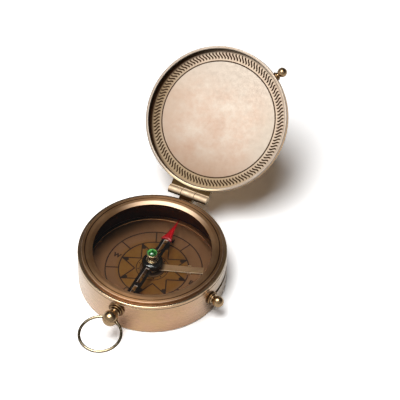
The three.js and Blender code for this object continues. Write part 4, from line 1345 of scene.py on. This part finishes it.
def needle_cap():
    low, high = node_box("needle_cap")
    plug = HUB_BORE - FIT_GAP
    foot_bottom = node_box("hub_dome")[1].z + SEAT_GAP
    foot_top = foot_bottom + CAP_FOOT_HEIGHT
    flange_top = foot_top + CAP_FLANGE_HEIGHT
    collar_bottom = high.z - CAP_COLLAR_HEIGHT
    seat = node_box("cap_jewel")[1].x + FIT_GAP
    corners = [
        (0, low.z),
        (plug, low.z),
        (plug, foot_bottom),
        (CAP_FOOT_RADIUS, foot_bottom, FINE_ROUND),
        (CAP_FOOT_RADIUS, foot_top, KNOB_ROUND),
        (CAP_FLANGE_RADIUS, foot_top, FINE_ROUND),
        (CAP_FLANGE_RADIUS, flange_top, KNOB_ROUND),
        (CAP_NECK_RADIUS, flange_top, CAP_NECK_ROUND),
        (CAP_NECK_RADIUS, collar_bottom, CAP_NECK_ROUND),
        (high.x, collar_bottom, KNOB_ROUND),
        (high.x, high.z, KNOB_ROUND),
        (seat, high.z),
        (seat, high.z - JEWEL_SEAT),
        (0, high.z - JEWEL_SEAT),
    ]
    return turned(rounded(corners), SMALL_STEPS)


def cap_jewel():
    low, high = node_box("cap_jewel")
    dome = quarter_arc(0, high.z - JEWEL_DOME, high.x, JEWEL_DOME)
    return turned([(0, low.z), (high.x, low.z), *dome], SMALL_STEPS)


def carrying_ring():
    wire = grown(
        bpy.data.meshes.new("wire"),
        wires,
        Ring_Radius=RING_RADIUS,
        Wire_Radius=WIRE_RADIUS,
        Ring_Steps=RING_STEPS,
        Wire_Steps=WIRE_STEPS,
        Material=ring_brass,
    )
    side = Matrix.Rotation((ring_azimuth + 90) * DEG, 4, "Z")
    hang = Matrix.Rotation(RING_DROOP * DEG, 4, "X") @ Matrix.Translation((0, -RING_RADIUS, 0))
    return placed(wire, Matrix.Translation(ring_place) @ side @ hang)


shell = piece("case_shell", case_shell(), case_brass, "case", ["case_body"])
paint(shell, bore_brass, Matrix(), inside_bore)
rim = piece("bezel", bezel(), bezel_brass, "case", ["bezel_ring"])
paint(rim, bezel_slope_brass, Matrix(), within(bezel_crown_end))
piece("crystal_pane", crystal(), clear_glass, "case", ["crystal"])
piece("dial_hold_ring", dial_hold_ring(), hold_ring_brass, "case", ["dial_ring"])
piece("dial_engraving", dial_engraving(), engraving, "case")
piece("pivot", pivot(), boss_brass, "case", ["pivot_post"])
piece("saddle", softened("lever_saddle", FINE_ROUND), strip_brass, "case", ["lever_saddle"])
stud = piece("ring_stud", ring_post(), knob_brass, "case", ["ring_post"])
paint(stud, foot_brass, Matrix(), within(ring_foot_end))
leaf = softened("case_hinge_leaf", LEAF_ROUND)
piece("case_leaf", leaf, hinge_brass, "case", ["case_hinge_leaf"])
button = piece("lock_button", lock_knob(), knob_brass, "lock", ["lock_knob"])
paint(button, foot_brass, Matrix(), within(lock_foot_end))
lever = piece("lift_lever", lift_lever(), strip_brass, "lever", ["lock_lever"])
paint(lever, edge_brass, Matrix(), on_lever_edge)
paint(lever, dial_brass, Matrix(), on_lever_end)
piece("needle_boss", needle_hub(), black_lacquer, "needle", ["needle_hub"])
blade = softened("needle_blade", NEEDLE_EDGE, NEEDLE_EDGE_STEPS)
bars = piece("needle_bars", blade, black_lacquer, "needle", ["needle_blade"])
paint(bars, slot_steel, needle_turn.inverted(), in_needle_slot)
piece("needle_head", arrow_head(), red_lacquer, "needle", ["north_arrow"], needle_turn)
piece("boss_dome", hub_dome(), black_lacquer, "needle", ["hub_dome"])
piece("boss_cap", needle_cap(), knob_brass, "needle", ["needle_cap"])
piece("cabochon", cap_jewel(), jewel_glass, "needle", ["cap_jewel"])
dish = piece("lid_dish", lid_shell(), lid_brass, "lid", ["lid_shell"], lid_open)
paint(dish, lid_border_brass, lid_shut, on_lid_border)
paint(dish, lid_outside_brass, lid_shut, on_lid_outside)
paint(dish, lid_rim_brass, lid_shut, on_lid_rim)
paint(dish, lid_wall_brass, lid_shut, on_lid_wall)
piece("lid_engraving", lid_engraving(), rope_wax, "lid", (), lid_open)
button = piece("lid_button", lid_knob(), knob_brass, "lid", ["lid_knob"], lid_open)
paint(button, foot_brass, lid_shut, within(lid_foot_end))
leaf = softened("lid_hinge_leaf", LEAF_ROUND)
piece("lid_leaf", leaf, hinge_brass, "lid", ["lid_hinge_leaf"])
piece("carrying_ring", carrying_ring(), ring_brass, "ring", ["bow_ring"])

# CAD solids that stay as they are
kept_finishes = {
    "dial_plate": dial_brass,
    "pivot_point": pin_steel,
    "pivot_nut": strip_brass,
    "crystal_gasket": seat_rubber,
    "lever_pin": pin_steel,
    "lock_slider": bore_brass,
    "lock_nut": strip_brass,
    "ring_post_nut": strip_brass,
    "bearing_cup": cup_agate,
    "hinge_pin": hinge_brass,
}
for node, material in kept_finishes.items():
    solid = frame["nodes"][node].data
    solid.materials.clear()
    solid.materials.append(material)


# Floor, light and camera

def white_floor():
    """White seamless paper under the lamps. The picture bleaches it, all but the shadow."""
    material, tree, output = new_material("white_paper")
    in_picture = add(tree, "ShaderNodeLightPath").outputs["Is Camera Ray"]
    inputs = {0: in_picture, MIX_A: linear("#f7f7f7"), MIX_B: BLEACHED_PAPER}
    shade = add(tree, "ShaderNodeMix", {"data_type": "RGBA", "clamp_result": False}, inputs)
    paper = add(tree, "ShaderNodeBsdfDiffuse", inputs={"Color": shade.outputs[MIX_RESULT]})
    tree.links.new(paper.outputs["BSDF"], output.inputs["Surface"])
    corners = [(-1, -1), (1, -1), (1, 1), (-1, 1)]
    mesh = slab([(x * FLOOR_HALF, y * FLOOR_HALF) for x, y in corners], -FLOOR_DEPTH, 0)
    mesh.materials.append(material)
    floor = new_object("floor", mesh)


def studio_world():
    """Walls at the horizon, white at the left and grey at the right. Above them the front is a pale
    reflector and the back is dark."""
    world = bpy.data.worlds.new("studio")
    bpy.context.scene.world = world
    world.use_nodes = True
    tree = world.node_tree
    tree.nodes.clear()
    place = add(tree, "ShaderNodeTexCoord").outputs["Generated"]
    axes = add(tree, "ShaderNodeSeparateXYZ", inputs={"Vector": place}).outputs
    shades = []
    for axis, (start, end), (near, far) in (("X", LEFT_TO_RIGHT, WALLS), ("Y", FRONT_TO_BACK, OVERHEAD)):
        inputs = {"Value": axes[axis], "From Min": start, "From Max": end, "To Min": near, "To Max": far}
        shade = add(tree, "ShaderNodeMapRange", {"interpolation_type": "SMOOTHSTEP"}, inputs)
        shades.append(shade.outputs["Result"])
    walls, overhead = shades
    inputs = {
        "Value": axes["Z"],
        "From Min": HORIZON[0],
        "From Max": HORIZON[1],
        "To Min": walls,
        "To Max": overhead,
    }
    rise = add(tree, "ShaderNodeMapRange", {"interpolation_type": "SMOOTHSTEP"}, inputs)
    strength = rise.outputs["Result"]
    on_dull = add(tree, "ShaderNodeLightPath").outputs["Is Diffuse Ray"]
    lit = add(tree, "ShaderNodeMix", {"data_type": "FLOAT"}, {0: on_dull, 2: strength, 3: FILL_LIGHT})
    inputs = {"Color": (1, 1, 1, 1), "Strength": lit.outputs["Result"]}
    back = add(tree, "ShaderNodeBackground", inputs=inputs)
    output = tree.nodes.new("ShaderNodeOutputWorld")
    tree.links.new(back.outputs["Background"], output.inputs["Surface"])


def softbox(name, azimuth, elevation, distance, size, power):
    """A square lamp that faces the compass. Azimuth 0 is the side of the carrying ring."""
    a, e = azimuth * DEG, elevation * DEG
    away = Vector((math.sin(a) * math.cos(e), -math.cos(a) * math.cos(e), math.sin(e)))
    lamp = bpy.data.lights.new(name, "AREA")
    lamp.size = size
    lamp.energy = power
    holder = new_object(name, lamp)
    holder.location = Vector(LAMP_TARGET) + away * distance
    holder.rotation_euler = away.to_track_quat("Z", "Y").to_euler()


def photo_camera():
    a, e, roll = VIEW_AZIMUTH * DEG, VIEW_ELEVATION * DEG, VIEW_ROLL * DEG
    back = Vector((math.sin(a) * math.cos(e), -math.cos(a) * math.cos(e), math.sin(e)))
    level = Vector((math.cos(a), math.sin(a), 0))
    rise = back.cross(level)
    right = level * math.cos(roll) - rise * math.sin(roll)
    up = level * math.sin(roll) + rise * math.cos(roll)
    aim = (right * AIM_RIGHT + up * AIM_UP) * MM
    lens = bpy.data.cameras.new("photo_camera")
    lens.lens = LENS
    lens.sensor_width = SENSOR
    camera = new_object("photo_camera", lens)
    place = aim + back * (FRAME_WIDTH * MM * LENS / SENSOR)
    turn = Matrix((right, up, back)).transposed().to_4x4()
    camera.matrix_world = Matrix.Translation(place) @ turn
    lens.clip_end = FAR_CLIP
    bpy.context.scene.camera = camera


white_floor()
studio_world()
softbox("key_softbox", azimuth=-30, elevation=75, distance=0.9, size=0.6, power=8.6)
photo_camera()
bpy.context.scene.view_settings.view_transform = "Standard"
